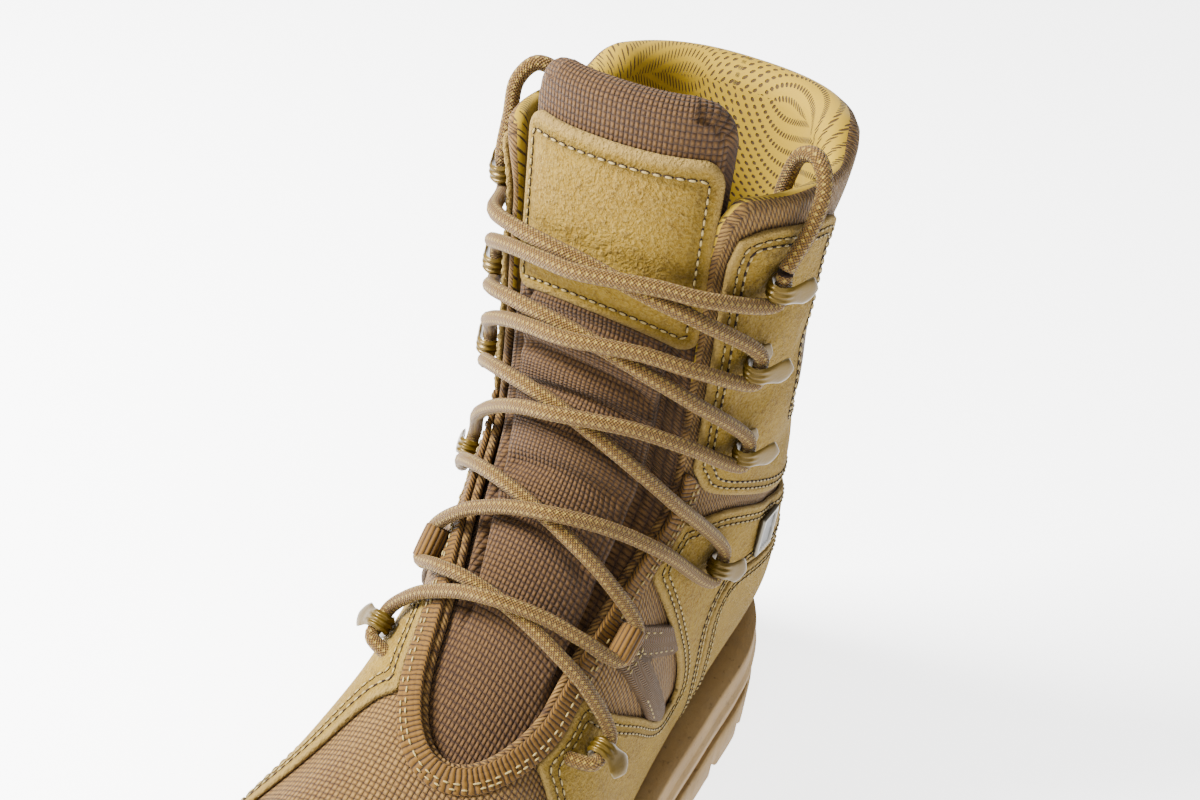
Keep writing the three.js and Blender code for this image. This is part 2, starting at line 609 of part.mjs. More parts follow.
// Overlays: one layer of suede lying FIT off the upper's wall
const suedeLayer = shell(0, -SUEDE, collarSwell);
const throatForSuede = throatCutter(BINDING_WIDTH + FIT);
const throatForEyestay = throatCutter(LINING_EDGE);
const aboveCup = sideBand(stations, (x) => rimHeight(x) - SUEDE_TUCK, () => 300);
const FAR = SOLE_BALL_WIDTH;
const HIGH = COLLAR_FRONT_HEIGHT;
const side = (points) => points.map(([x, z]) => [x * half, z * HIGH]);
const rounded = (points) => smoothOutline(side(points), points.length * 3);

// Toe guard and heel counter wrap round both sides
const toeGuard = rounded([
  [0.17, 0.05], [0.15, 0.2], [0.13, 0.285], [0.22, 0.275],
  [0.4, 0.25], [0.58, 0.255], [0.7, 0.29], [0.78, 0.34],
  [0.86, 0.42], [1.1, 0.42], [1.15, 0.05],
]);
const heelCounter = rounded([
  [-1.15, 0.02], [-1.15, 0.345], [-0.95, 0.36], [-0.75, 0.385], [-0.6, 0.4], [-0.545, 0.37], [-0.535, 0.3],
  [-0.54, 0.2], [-0.545, 0.02],
]);
// Quarter with its ankle strap, cut round a window of the upper's cloth
const quarter = rounded([
  [-0.3, 0.64], [-0.41, 0.575], [-0.52, 0.557], [-0.72, 0.495], [-0.9, 0.46], [-1.15, 0.45], [-1.15, 0.36],
  [-0.95, 0.368], [-0.75, 0.393], [-0.6, 0.412],
  [-0.535, 0.38], [-0.525, 0.3], [-0.53, 0.2], [-0.535, 0.02],
  [0.15, 0.02], [0.14, 0.2], [0.1, 0.33], [0.06, 0.42],
  [0.05, 0.52], [-0.05, 0.5], [-0.12, 0.43], [-0.23, 0.36],
  [-0.34, 0.29], [-0.42, 0.275], [-0.425, 0.31], [-0.37, 0.42], [-0.32, 0.52], [-0.29, 0.58],
]);
// Eyestay, with a band running back round the ankle
const eyestay = rounded([
  [-0.25, 0.93], [-0.385, 0.945], [-0.44, 0.958],
  [-0.56, 0.94], [-0.67, 0.915], [-0.69, 0.88], [-0.705, 0.76],
  [-0.715, 0.65], [-0.8, 0.63], [-1.15, 0.625],
  [-1.15, 0.475], [-0.9, 0.49], [-0.72, 0.515], [-0.54, 0.575],
  [-0.44, 0.615], [-0.405, 0.65], [-0.25, 0.66],
]);
const medialQuarter = rounded([
  [-0.3, 0.64], [-0.41, 0.575], [-0.52, 0.557], [-0.72, 0.495], [-0.9, 0.46], [-1.15, 0.45], [-1.15, 0.36],
  [-0.95, 0.368], [-0.75, 0.393], [-0.6, 0.412],
  [-0.535, 0.38], [-0.525, 0.3], [-0.53, 0.2], [-0.535, 0.02],
  [0.15, 0.02], [0.14, 0.2], [0.12, 0.3], [0.36, 0.3],
  [0.3, 0.345], [0.12, 0.455], [0.06, 0.52], [-0.05, 0.52],
  [-0.12, 0.47], [-0.23, 0.4], [-0.34, 0.31], [-0.42, 0.29], [-0.43, 0.33], [-0.37, 0.42], [-0.32, 0.52],
  [-0.29, 0.58],
]);
// An outline grown by a margin, for the seam round the piece it cuts
function grown(outline, margin) {
  const area = THREE.ShapeUtils.area(outline.map(([x, z]) => new THREE.Vector2(x, z)));
  return outline.map(([x, z], index) => {
    const before = outline[(index + outline.length - 1) % outline.length];
    const after = outline[(index + 1) % outline.length];
    const normal = new THREE.Vector2(after[1] - before[1], before[0] - after[0]).normalize();
    return [x + normal.x * margin * Math.sign(area), z + normal.y * margin * Math.sign(area)];
  });
}
const seamGap = FIT / 2;
const sides = [
  { name: 'lateral', low: seamGap, high: FAR, quarterLine: quarter },
  { name: 'medial', low: -FAR, high: -seamGap, quarterLine: medialQuarter },
];
const quarterSeams = wasm.Manifold.union(
  sides.map(({ low, high, quarterLine }) => sidePrism(grown(quarterLine, 2 * FIT), low - FIT, high + FIT)),
);
const underQuarter = suedeLayer.intersect(aboveCup).subtract(quarterSeams);
addPiece('toe_guard', underQuarter.intersect(sidePrism(toeGuard, -FAR, FAR)), suedeFinish);
addPiece('heel_counter', underQuarter.intersect(sidePrism(heelCounter, -FAR, FAR)), suedeFinish);
for (const { name, low, high, quarterLine } of sides) {
  const quarterPiece = suedeLayer.intersect(sidePrism(quarterLine, low, high)).subtract(throatForSuede);
  addPiece(`quarter_${name}`, quarterPiece.intersect(aboveCup), suedeFinish);
  const eyestayPiece = suedeLayer.intersect(sidePrism(eyestay, low, high)).subtract(throatForEyestay);
  addPiece(`eyestay_${name}`, eyestayPiece, suedeFinish);
}

// Tape and webbing lie in one layer between the upper's wall and the suede's outer face
const tapeLayer = shell(TAPE - SUEDE, -SUEDE, collarSwell);
const eyestaySeams = wasm.Manifold.union(
  sides.map(({ low, high }) => sidePrism(grown(eyestay, 2 * FIT), low - FIT, high + FIT)),
);

// Webbing straps fan out from the loop at the throat's edge, down into the window
const STRAP_ENDS = [{ x: -0.4, z: 0.4 }, { x: -0.32, z: 0.3 }];
function strapOutline(from, to) {
  const run = new THREE.Vector2(to[0] - from[0], to[1] - from[1]).normalize();
  const across = new THREE.Vector2(-run.y, run.x).multiplyScalar(WEBBING_WIDTH / 2);
  return [
    [from[0] + across.x, from[1] + across.y], [from[0] - across.x, from[1] - across.y],
    [to[0] - across.x, to[1] - across.y], [to[0] + across.x, to[1] + across.y],
  ];
}

// Place of a fitting: a point on the suede's face and its directions out of the boot, up the throat
// and away from the throat
const SEAT_STEP = 0.2;
function seatOf(station, y) {
  const origin = frontPoint(station, y, collarSwell(station));
  const [below, above] = [station - SEAT_STEP, station + SEAT_STEP];
  const lower = frontPoint(below, y, collarSwell(below));
  const up = frontPoint(above, y, collarSwell(above)).sub(lower).normalize();
  const out = formNormal(station, frontAngle(station, y));
  out.addScaledVector(up, -out.dot(up)).normalize();
  const away = new THREE.Vector3().crossVectors(up, out).multiplyScalar(Math.sign(y));
  return { origin, out, up, away, hand: Math.sign(y) };
}
const seats = FITTINGS.map((fitting) => ({
  kind: fitting.kind,
  lateral: seatOf(fitting.lateral[0], fitting.lateral[1] * ball),
  medial: seatOf(fitting.medial[0], fitting.medial[1] * ball),
}));

// Solid from a profile in the away and out directions, run along the throat over a width
function profileSolid(place, outline, hole, width) {
  const shape = new THREE.Shape(outline.map(([u, v]) => new THREE.Vector2(u, v)));
  if (hole) shape.holes.push(new THREE.Path(hole.map(([u, v]) => new THREE.Vector2(u, v))));
  const geometry = new THREE.ExtrudeGeometry(shape, { depth: width, bevelEnabled: false });
  geometry.translate(0, 0, -width / 2);
  const run = place.up.clone().multiplyScalar(-place.hand);
  const basis = new THREE.Matrix4().makeBasis(place.away, place.out, run);
  geometry.applyMatrix4(basis.setPosition(place.origin));
  return orient(solidFrom(geometry));
}
const arc = (radius, centre, from, to, steps) => sweep(from, to, steps).map((angle) => [
  radius * Math.cos(angle), centre + radius * Math.sin(angle),
]);

// Hook: a metal strip bent back over itself at the throat's side, open away from it
const HOOK_BEND = LACE / 2 + FIT + HOOK.strip;
const HOOK_ARC_STEPS = 3;
const SEAT_GAP = 2 * FIT;
const LACE_HEIGHT = SEAT_GAP + HOOK_BEND;
function hookSolid(place) {
  const inner = HOOK_BEND - HOOK.strip;
  const quarterTurn = Math.PI / 2;
  return profileSolid(place, [
    [HOOK.reach, LACE_HEIGHT - HOOK_BEND],
    [HOOK.reach, LACE_HEIGHT - inner],
    ...arc(inner, LACE_HEIGHT, -quarterTurn, -3 * quarterTurn, HOOK_ARC_STEPS),
    [HOOK.reach, LACE_HEIGHT + inner + HOOK.lift],
    [HOOK.reach, LACE_HEIGHT + HOOK_BEND + HOOK.lift],
    ...arc(HOOK_BEND, LACE_HEIGHT, -3 * quarterTurn, -quarterTurn, HOOK_ARC_STEPS),
  ], null, HOOK.width);
}

// Loop: webbing turned round the lace, sewn into the tip of its two straps
const LOOP_OUTER = LACE / 2 + FIT + TAPE;
const LOOP_SIDES = 8;
const ringAround = (radius) => (
  arc(radius, LACE_HEIGHT - FIT - TAPE, 0, 2 * Math.PI, LOOP_SIDES).slice(0, -1));
function loopSolid(place) {
  return profileSolid(place, ringAround(LOOP_OUTER), ringAround(LOOP_OUTER - TAPE), WEBBING_WIDTH);
}

const strapCutters = [];
for (const { name, low, high } of sides) {
  const loop = seats.find((seat) => seat.kind === 'loop')[name];
  const tip = [loop.origin.x, loop.origin.z];
  const straps = wasm.Manifold.union(STRAP_ENDS.map((end) => (
    sidePrism(strapOutline(tip, [end.x * half, end.z * HIGH]), low, high))));
  const grownStraps = wasm.Manifold.union(STRAP_ENDS.map((end) => (
    sidePrism(grown(strapOutline(tip, [end.x * half, end.z * HIGH]), FIT), low, high))));
  const loopRoom = profileSolid(loop, ringAround(LOOP_OUTER + FIT), null, WEBBING_WIDTH + 2 * FIT);
  strapCutters.push(grownStraps, loopRoom);
  const lying = tapeLayer.intersect(straps).subtract(quarterSeams).subtract(throat);
  addPiece(`webbing_${name}`, lying.add(loopSolid(loop)), webbingFinish);
}

// Ribbed tape round the lower throat, up to the eyestays
const BINDING_TOP = 12.3;
const bindingRing = throatCutter(BINDING_WIDTH, BINDING_TOP).subtract(throat);
const bindingCutters = wasm.Manifold.union([...strapCutters, eyestaySeams]);
addPiece('throat_binding', tapeLayer.intersect(bindingRing).subtract(bindingCutters), webbingFinish);

// Webbing round the back of the ankle, between the eyestays
const backBand = side([[-0.6, 0.66], [-0.6, 0.77], [-1.2, 0.8], [-1.2, 0.7]]);
const backWebbing = tapeLayer.intersect(sidePrism(backBand, -FAR, FAR)).subtract(eyestaySeams);
addPiece('ankle_webbing', backWebbing, webbingFinish);

// Small plate on the outer ankle strap
const TAG_AT = { x: -0.69, z: 0.455 };
const tagOutline = [[-1, -1], [1, -1], [1, 1], [-1, 1]].map(([u, v]) => (
  [TAG_AT.x * half + (u * TAG.length) / 2, TAG_AT.z * HIGH + (v * TAG.height) / 2]));
addPiece('side_tag', shell(FIT + TAG.thickness, FIT).intersect(sidePrism(tagOutline, 0, FAR)), hookFinish);

// Hooks, numbered with the lace pairs from the toe up
seats.forEach((seat, index) => {
  if (seat.kind !== 'hook') return;
  for (const { name } of sides) addPiece(`hook_${name}_${index + 1}`, hookSolid(seat[name]), hookFinish);
});

// Lace: a bar at the lowest pair, then a crossing from each pair to the next
const LACE_SIDES = 6;
const STATION_RUN = 15;
const LACE_STEPS = 6;
function tube(points, sidesRound, steps) {
  const route = new THREE.CatmullRomCurve3(points);
  const shape = new THREE.Shape(sweep(0, 2 * Math.PI, sidesRound).slice(0, -1).map((angle) => (
    new THREE.Vector2(Math.cos(angle) * (LACE / 2), Math.sin(angle) * (LACE / 2)))));
  const geometry = new THREE.ExtrudeGeometry(shape, { steps, extrudePath: route, bevelEnabled: false });
  return orient(solidFrom(geometry));
}
const BESIDE = 8 * FIT + (Math.max(HOOK.width, WEBBING_WIDTH) + LACE) / 2;
const laceEnd = (place, direction) => place.origin.clone().addScaledVector(place.out, LACE_HEIGHT)
  .addScaledVector(place.up, direction * BESIDE);
const UNDER_CREST = 1.3;
const OVER_CREST = UNDER_CREST + 0.6 * LACE;
const BESIDE_STATION = BESIDE / STATION_RUN;
function strand(fromIndex, fromName, toIndex, toName, leave, arrive, crest) {
  const [fromStation, fromShare] = FITTINGS[fromIndex][fromName];
  const [toStation, toShare] = FITTINGS[toIndex][toName];
  const between = sweep(0, 1, LACE_STEPS).slice(1, -1).map((share) => {
    const lift = mix(crest, LACE_HEIGHT, Math.abs(2 * share - 1));
    const station = mix(fromStation + leave * BESIDE_STATION, toStation + arrive * BESIDE_STATION, share);
    return frontPoint(station, mix(fromShare, toShare, share) * ball, lift + collarSwell(station));
  });
  const first = laceEnd(seats[fromIndex][fromName], leave);
  const final = laceEnd(seats[toIndex][toName], arrive);
  const points = [first, ...between, final];
  return tube(points, LACE_SIDES, LACE_STEPS);
}
addPiece('lace_bar', strand(0, 'medial', 0, 'lateral', -1, -1, UNDER_CREST), laceFinish);
for (let index = 0; index < FITTINGS.length - 1; index += 1) {
  const over = strand(index, 'lateral', index + 1, 'medial', 1, -1, OVER_CREST);
  const under = strand(index, 'medial', index + 1, 'lateral', 1, -1, UNDER_CREST);
  addPiece(`lace_crossing_${index + 1}`, over.add(under), laceFinish);
}

// Free ends of the lace: from the top hooks over the collar, into the boot beside the tongue
const LACE_ENDS = {
  lateral: [[-74, 45.4, 229], [-78.5, 44.9, 237.5], [-81.5, 40.8, 242], [-84, 35.9, 239.8],
    [-85, 33.2, 232], [-85, 32.2, 222]],
  medial: [[-76, -39.9, 229], [-79, -40, 237.5], [-82, -36.3, 242], [-84.5, -31.2, 239.8],
    [-85.5, -28.2, 232], [-85.5, -27.2, 222]],
};
const CORD_SIDES = 8;
const CORD_STEPS = 9;
for (const name of ['lateral', 'medial']) {
  const start = laceEnd(seats[seats.length - 1][name], 1);
  const route = [start, ...LACE_ENDS[name].map(([x, y, z]) => new THREE.Vector3(x, y, z))];
  addPiece(`lace_end_${name}`, tube(route, CORD_SIDES, CORD_STEPS), laceFinish);
}

export default boot;
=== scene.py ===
import math

import bpy
import numpy as np
from mathutils import Matrix, Vector
from mathutils.bvhtree import BVHTree
from mathutils.kdtree import KDTree


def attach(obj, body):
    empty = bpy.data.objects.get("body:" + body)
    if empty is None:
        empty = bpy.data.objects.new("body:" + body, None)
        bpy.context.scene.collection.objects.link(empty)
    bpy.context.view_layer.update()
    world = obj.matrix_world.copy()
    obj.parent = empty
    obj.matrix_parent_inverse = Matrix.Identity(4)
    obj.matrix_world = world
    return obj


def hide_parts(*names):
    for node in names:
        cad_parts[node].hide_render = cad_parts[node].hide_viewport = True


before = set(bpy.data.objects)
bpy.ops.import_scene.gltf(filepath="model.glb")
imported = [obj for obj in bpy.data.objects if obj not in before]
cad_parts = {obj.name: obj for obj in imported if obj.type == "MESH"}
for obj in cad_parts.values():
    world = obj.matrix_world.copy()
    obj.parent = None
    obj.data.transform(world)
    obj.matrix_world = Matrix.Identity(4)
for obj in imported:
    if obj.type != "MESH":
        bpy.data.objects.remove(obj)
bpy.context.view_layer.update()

# Camera
# It looks down on the outer front of the boot, rolled a little, and frames the one boot as the
# photo does. Places are worked out in millimetres and made in metres.
MM = 0.001
CAMERA_PLACE = Vector((201.8, 135.4, 395.8))
CAMERA_TURN = math.radians(29.25)
CAMERA_LIFT = math.radians(41.57)
CAMERA_ROLL = math.radians(4.5)
PHOTO_WIDTH = 1200
FOCAL_PIXELS = 1395.8
VIEW_SHIFT = (51.33, 83.21)

camera_back = Vector((
    math.cos(CAMERA_TURN) * math.cos(CAMERA_LIFT),
    math.sin(CAMERA_TURN) * math.cos(CAMERA_LIFT),
    math.sin(CAMERA_LIFT),
))
level_right = Vector((-math.sin(CAMERA_TURN), math.cos(CAMERA_TURN), 0))
level_up = camera_back.cross(level_right)
camera_right = level_right * math.cos(CAMERA_ROLL) + level_up * math.sin(CAMERA_ROLL)
camera_up = level_up * math.cos(CAMERA_ROLL) - level_right * math.sin(CAMERA_ROLL)
camera_data = bpy.data.cameras.new("camera")
camera_data.sensor_width = 36
camera_data.lens = 36 * FOCAL_PIXELS / PHOTO_WIDTH
camera_data.shift_x = VIEW_SHIFT[0] / PHOTO_WIDTH
camera_data.shift_y = VIEW_SHIFT[1] / PHOTO_WIDTH
camera_data.clip_start = 0.01
camera = bpy.data.objects.new("camera", camera_data)
bpy.context.scene.collection.objects.link(camera)
turn = Matrix((camera_right, camera_up, camera_back)).transposed().to_4x4()
camera.matrix_world = Matrix.Translation(CAMERA_PLACE * MM) @ turn
bpy.context.scene.camera = camera

# Last
# The wooden form that the boot is pulled over, as a fan of sections from the toe to the collar.
# Every layer of the upper is laid on it at its own height.
LAST_HALF = 146
BALL_HALF = 52
COLLAR_FRONT, COLLAR_BACK = 240, 231
HEEL_SEAT, BALL_SEAT, TOE_SEAT = 33, 18, 30
BALL_AT = 0.425 * LAST_HALF
HEEL_AT = -0.85 * LAST_HALF
COLLAR_STATION = 17
# back x, back rise, front x, front rise, medial, lateral, belly, low and high corner powers
SECTIONS = np.array([
    [1, 0.02, 1, 0.108, 0.12, 0.12, 0.5, 2, 2],
    [0.983, 0, 0.973, 0.171, 0.52, 0.3, 0.45, 3, 2.2],
    [0.938, 0, 0.918, 0.212, 0.765, 0.55, 0.42, 4, 2.3],
    [0.849, 0, 0.808, 0.248, 0.923, 0.765, 0.4, 4.5, 2.3],
    [0.712, 0, 0.644, 0.279, 0.992, 0.913, 0.38, 5, 2.2],
    [0.534, 0, 0.451, 0.313, 1, 1, 0.36, 5, 2.1],
    [0.329, 0, 0.299, 0.355, 0.917, 1, 0.36, 5, 2.05],
    [0.11, 0, 0.157, 0.412, 0.794, 0.931, 0.36, 5, 2.05],
    [-0.11, 0, 0.008, 0.475, 0.713, 0.84, 0.38, 5, 2.1],
    [-0.342, 0, -0.101, 0.538, 0.692, 0.769, 0.4, 4.5, 2.1],
    [-0.603, 0, -0.186, 0.601, 0.715, 0.744, 0.42, 4, 2.15],
    [-0.885, 0, -0.249, 0.659, 0.756, 0.756, 0.42, 3.2, 2.2],
    [-0.985, 0.06, -0.274, 0.703, 0.765, 0.788, 0.42, 2.8, 2.25],
    [-0.991, 0.197, -0.29, 0.748, 0.758, 0.802, 0.44, 2.6, 2.3],
    [-0.954, 0.379, -0.3, 0.802, 0.733, 0.796, 0.46, 2.5, 2.35],
    [-0.918, 0.571, -0.308, 0.869, 0.715, 0.8, 0.48, 2.4, 2.4],
    [-0.911, 0.783, -0.312, 0.937, 0.702, 0.802, 0.5, 2.4, 2.4],
    [-0.938, 1, -0.315, 1, 0.713, 0.821, 0.5, 2.4, 2.4],
    [-0.952, 1.14, -0.318, 1.09, 0.73, 0.84, 0.5, 2.4, 2.4],
])


def smooth(value):
    value = np.clip(value, 0, 1)
    return value * value * (3 - 2 * value)


def mix(start, end, share):
    return start + (end - start) * share


def table_row(table, at):
    last = len(table) - 1
    place = np.clip(at, 0, last - 1e-9)
    row = np.floor(place).astype(int)
    share = (place - row)[..., None]
    padded = np.vstack([2 * table[0] - table[1], table, 2 * table[-1] - table[-2]])
    a, b, c, d = (padded[row + step] for step in range(4))
    cubic = 3 * (b - c) + d - a
    square = 2 * a - 5 * b + 4 * c - d
    return 0.5 * (2 * b + (c - a) * share + square * share ** 2 + cubic * share ** 3)


def seat(x):
    x = np.asarray(x, float)
    rear = mix(BALL_SEAT, HEEL_SEAT, smooth((BALL_AT - x) / (BALL_AT - HEEL_AT)))
    front = mix(BALL_SEAT, TOE_SEAT, np.clip((x - BALL_AT) / (LAST_HALF - BALL_AT), 0, 1) ** 2.5)
    return np.where(x < BALL_AT, rear, front)


def last_point(station, angle):
    station, angle = np.broadcast_arrays(np.asarray(station, float), np.asarray(angle, float))
    row = table_row(SECTIONS, station)
    back_x, front_x = row[..., 0] * LAST_HALF, row[..., 2] * LAST_HALF
    back_z = mix(seat(back_x), COLLAR_BACK, np.maximum(0, row[..., 1]))
    front_z = mix(BALL_SEAT, COLLAR_FRONT, row[..., 3])
    belly = row[..., 6]
    cosine, sine = np.cos(angle), np.sin(angle)
    power = 2 / np.where(cosine > 0, row[..., 7], row[..., 8])
    bulk = np.abs(cosine) ** power
    along = np.where(cosine > 0, belly * (1 - bulk), mix(belly, 1, bulk))
    width = np.where(sine >= 0, row[..., 5], row[..., 4]) * BALL_HALF
    y = width * np.abs(sine) ** power * np.sign(sine)
    return np.stack([mix(back_x, front_x, along), y, mix(back_z, front_z, along)], -1)


def unit(vectors):
    return vectors / np.maximum(np.linalg.norm(vectors, axis=-1, keepdims=True), 1e-9)


def last_normal(station, angle):
    around = last_point(station, angle + 0.03) - last_point(station, angle - 0.03)
    low = np.maximum(0, np.asarray(station, float) - 0.06)
    along = last_point(np.asarray(station, float) + 0.06, angle) - last_point(low, angle)
    return unit(np.cross(along, around))


def front_angle(station, y):
    row = table_row(SECTIONS, np.asarray(station, float))
    reach = np.where(np.asarray(y) > 0, row[..., 5], row[..., 4]) * BALL_HALF
    share = np.minimum(0.995, np.abs(y) / reach)
    angle = math.pi - np.arcsin(share ** (row[..., 8] / 2))
    return np.where(np.asarray(y) > 0, angle, 2 * math.pi - angle)


def front_point(station, y, height):
    angle = front_angle(station, y)
    lift = np.asarray(height, float)[..., None]
    return last_point(station, angle) + last_normal(station, angle) * lift


def collar_swell(station):
    return 2.6 * smooth((np.asarray(station, float) - 15.8) / 1.1)


# Lace
# One round braided cord, laced from the bar at the lowest hooks up to the top hooks. Its two free
# ends go over the collar into the boot. It runs through every hook, and two loops of webbing.
LACE = 4.0
LACE_HEIGHT = 4.2
BESIDE_HOOK = 4.6
STATION_RUN = 15
# station and sideways share of each fitting, toe to collar: lateral, then medial
FITTINGS = [
    ((8.2, 0.7), (8.05, -0.45)),
    ((9.35, 0.6), (9.2, -0.42)),
    ((11.05, 0.71), (10.95, -0.65)),
    ((13.5, 0.73), (13.45, -0.68)),
    ((14.85, 0.73), (14.85, -0.68)),
    ((15.95, 0.75), (16.05, -0.68)),
]
LOOP_PAIR = 1
LATERAL_END = [(-74, 45.4, 229), (-78.5, 44.9, 237.5), (-81.5, 40.8, 242), (-84, 35.9, 239.8),
               (-85, 33.2, 232), (-85, 32.2, 222)]
MEDIAL_END = [(-76, -39.9, 229), (-79, -40, 237.5), (-82, -36.3, 242), (-84.5, -31.2, 239.8),
              (-85.5, -28.2, 232), (-85.5, -27.2, 222)]


def fitting_seat(station, y):
    place = front_point(station, y, collar_swell(station))
    below = front_point(station - 0.2, y, collar_swell(station - 0.2))
    above = front_point(station + 0.2, y, collar_swell(station + 0.2))
    up = unit(above - below)
    out = last_normal(station, front_angle(station, y))
    out = unit(out - up * (out @ up))
    away = np.cross(up, out) * np.sign(y)
    return {"place": place, "up": up, "out": out, "away": away}


SEATS = [
    [fitting_seat(station, share * BALL_HALF) for station, share in pair]
    for pair in FITTINGS
]


def through(spot, direction):
    return spot["place"] + spot["out"] * LACE_HEIGHT + spot["up"] * direction * BESIDE_HOOK


def crossing(start, end, over):
    points = []
    for share in np.linspace(0, 1, 9)[1:-1]:
        station = mix(start[0] + BESIDE_HOOK / STATION_RUN, end[0] - BESIDE_HOOK / STATION_RUN, share)
        lift = mix(0.9, LACE_HEIGHT, abs(2 * share - 1) ** 1.5)
        lift += (4.3 if over else 0) * math.exp(-(((share - 0.5) / 0.17) ** 2))
        points.append(front_point(station, mix(start[1], end[1], share) * BALL_HALF,
                                  lift + collar_swell(station)))
    return points


def climb(side):
    """Half of the lace, from the bar up to the top hook, crossing at each pair."""
    points = []
    for pair in range(len(FITTINGS)):
        spot = SEATS[pair][side]
        low = through(spot, -1)
        points += [low, spot["place"] + spot["out"] * LACE_HEIGHT + spot["away"] * 0.6, through(spot, 1)]
        if pair + 1 < len(FITTINGS):
            points += crossing(FITTINGS[pair][side], FITTINGS[pair + 1][1 - side], side == 1)
        side = 1 - side
    return points


def round_curve(points, step):
    """Smooth line through the points, and for each sample the point that it comes after."""
    points = np.asarray(points, float)
    padded = np.vstack([2 * points[0] - points[1], points, 2 * points[-1] - points[-2]])
    samples, owner = [], []
    for index in range(len(points) - 1):
        before, start, end, after = padded[index:index + 4]
        spans = [max(np.linalg.norm(b - a) ** 0.5, 1e-6)
                 for a, b in ((before, start), (start, end), (end, after))]
        leave = ((start - before) / spans[0] - (end - before) / (spans[0] + spans[1])
                 + (end - start) / spans[1]) * spans[1]
        arrive = ((end - start) / spans[1] - (after - start) / (spans[1] + spans[2])
                  + (after - end) / spans[2]) * spans[1]
        count = max(2, round(float(np.linalg.norm(end - start)) / step))
        for share in np.arange(count) / count:
            square = -3 * start + 3 * end - 2 * leave - arrive
            cubic = 2 * start - 2 * end + leave + arrive
            samples.append(start + leave * share + square * share ** 2 + cubic * share ** 3)
            owner.append(index)
    samples.append(points[-1])
    owner.append(len(points) - 1)
    return np.array(samples), np.array(owner)


def link(name, mesh):
    piece = bpy.data.objects.new(name, mesh)
    bpy.context.scene.collection.objects.link(piece)
    return piece


def make_mesh(name, points, faces, loop_uv=None, face_finish=None, edge=None):
    mesh = bpy.data.meshes.new(name)
    mesh.from_pydata((np.asarray(points) * MM).tolist(), [], faces)
    if loop_uv is not None:
        layer = mesh.uv_layers.new(name="surface")
        layer.data.foreach_set("uv", (np.asarray(loop_uv) * MM).ravel().astype(np.float32))
    if edge is not None:
        attribute = mesh.attributes.new("edge", "FLOAT", "POINT")
        attribute.data.foreach_set("value", np.asarray(edge, np.float32))
    if face_finish is not None:
        mesh.polygons.foreach_set("material_index", np.asarray(face_finish, np.int32))
    mesh.polygons.foreach_set("use_smooth", np.ones(len(mesh.polygons), bool))
    mesh.update()
    return mesh


def tube(name, line, radius, sides=12):
    """Closed tube along a line, with a map that has its length one way and its turn the other."""
    line = np.asarray(line)
    tangents = unit(np.gradient(line, axis=0))
    normal = unit(np.cross(tangents[0], [0.3, 0.5, 0.81]))
    points, length = [], np.r_[0, np.cumsum(np.linalg.norm(np.diff(line, axis=0), axis=1))]
    turns = np.arange(sides) * 2 * math.pi / sides
    for place, tangent in zip(line, tangents):
        normal = unit(normal - tangent * (normal @ tangent))
        other = np.cross(tangent, normal)
        points.append(place + radius * (np.outer(np.cos(turns), normal) + np.outer(np.sin(turns), other)))
    points = np.concatenate(points + [line[:1], line[-1:]])
    faces, loops = [], []
    for row in range(len(line) - 1):
        for side in range(sides):
            after = (side + 1) % sides
            here = row * sides
            faces.append((here + side, here + after, here + sides + after, here + sides + side))
            turn_share = np.array([side, side + 1, side + 1, side]) / sides * 2 * math.pi * radius
            reach = length[[row, row, row + 1, row + 1]]
            loops += list(zip(reach, turn_share))
    last = (len(line) - 1) * sides
    ends = len(line) * sides
    for side in range(sides):
        after = (side + 1) % sides
        faces.append((ends, after, side))
        faces.append((ends + 1, last + side, last + after))
        loops += [(0, 0)] * 6
    return make_mesh(name, points, faces, loops)


half_lateral = climb(0)
half_medial = climb(1)
# The half that starts at the outer hook ends at the inner top hook, and the other one outside
whole_route = (LATERAL_END[::-1] + half_medial[::-1] + half_lateral + MEDIAL_END)
lace_line, lace_owner = round_curve(whole_route, 1.1)
first_hook = len(LATERAL_END)
last_hook = len(LATERAL_END) + len(half_medial) + len(half_lateral) - 1
between = (lace_owner >= first_hook) & (lace_owner <= last_hook)
into_lateral = lace_line[lace_owner < first_hook][::-1]
into_medial = lace_line[lace_owner >= last_hook]
laced = lace_line[between]
lateral_cord = link("lace_end_outer", tube("lace_end_outer", into_lateral, LACE / 2))
medial_cord = link("lace_end_inner", tube("lace_end_inner", into_medial, LACE / 2))
lace = link("lace_through_hooks", tube("lace_through_hooks", laced, LACE / 2))


def add_node(tree, kind, inputs=None, **settings):
    node = tree.nodes.new(kind)
    for name, value in settings.items():
        setattr(node, name, value)
    for key, value in (inputs or {}).items():
        if isinstance(value, bpy.types.NodeSocket):
            tree.links.new(value, node.inputs[key])
        else:
            node.inputs[key].default_value = value
    return node


def work_out(tree, operation, *values):
    node = add_node(tree, "ShaderNodeMath", dict(enumerate(values)), operation=operation)
    return node.outputs[0]


def blend_colours(tree, share, first, second):
    node = add_node(tree, "ShaderNodeMix", data_type="RGBA")
    for socket, value in zip((0, 6, 7), (share, first, second)):
        if isinstance(value, bpy.types.NodeSocket):
            tree.links.new(value, node.inputs[socket])
        else:
            node.inputs[socket].default_value = value
    return node.outputs[2]


# A lit surface looks paler than it is, so each seen colour is made deeper and richer by these
DEEPER = 0.275
RICHER = 1.6


def colour(hex_value):
    """The surface's own linear colour, from the hex colour it shows when lit."""
    parts = [int(hex_value[i:i + 2], 16) / 255 for i in (1, 3, 5)]
    linear = [p / 12.92 if p <= 0.04045 else ((p + 0.055) / 1.055) ** 2.4 for p in parts]
    grey = sum(linear) / 3
    return (*(max(0.002, (grey + (p - grey) * RICHER) * DEEPER) for p in linear), 1)


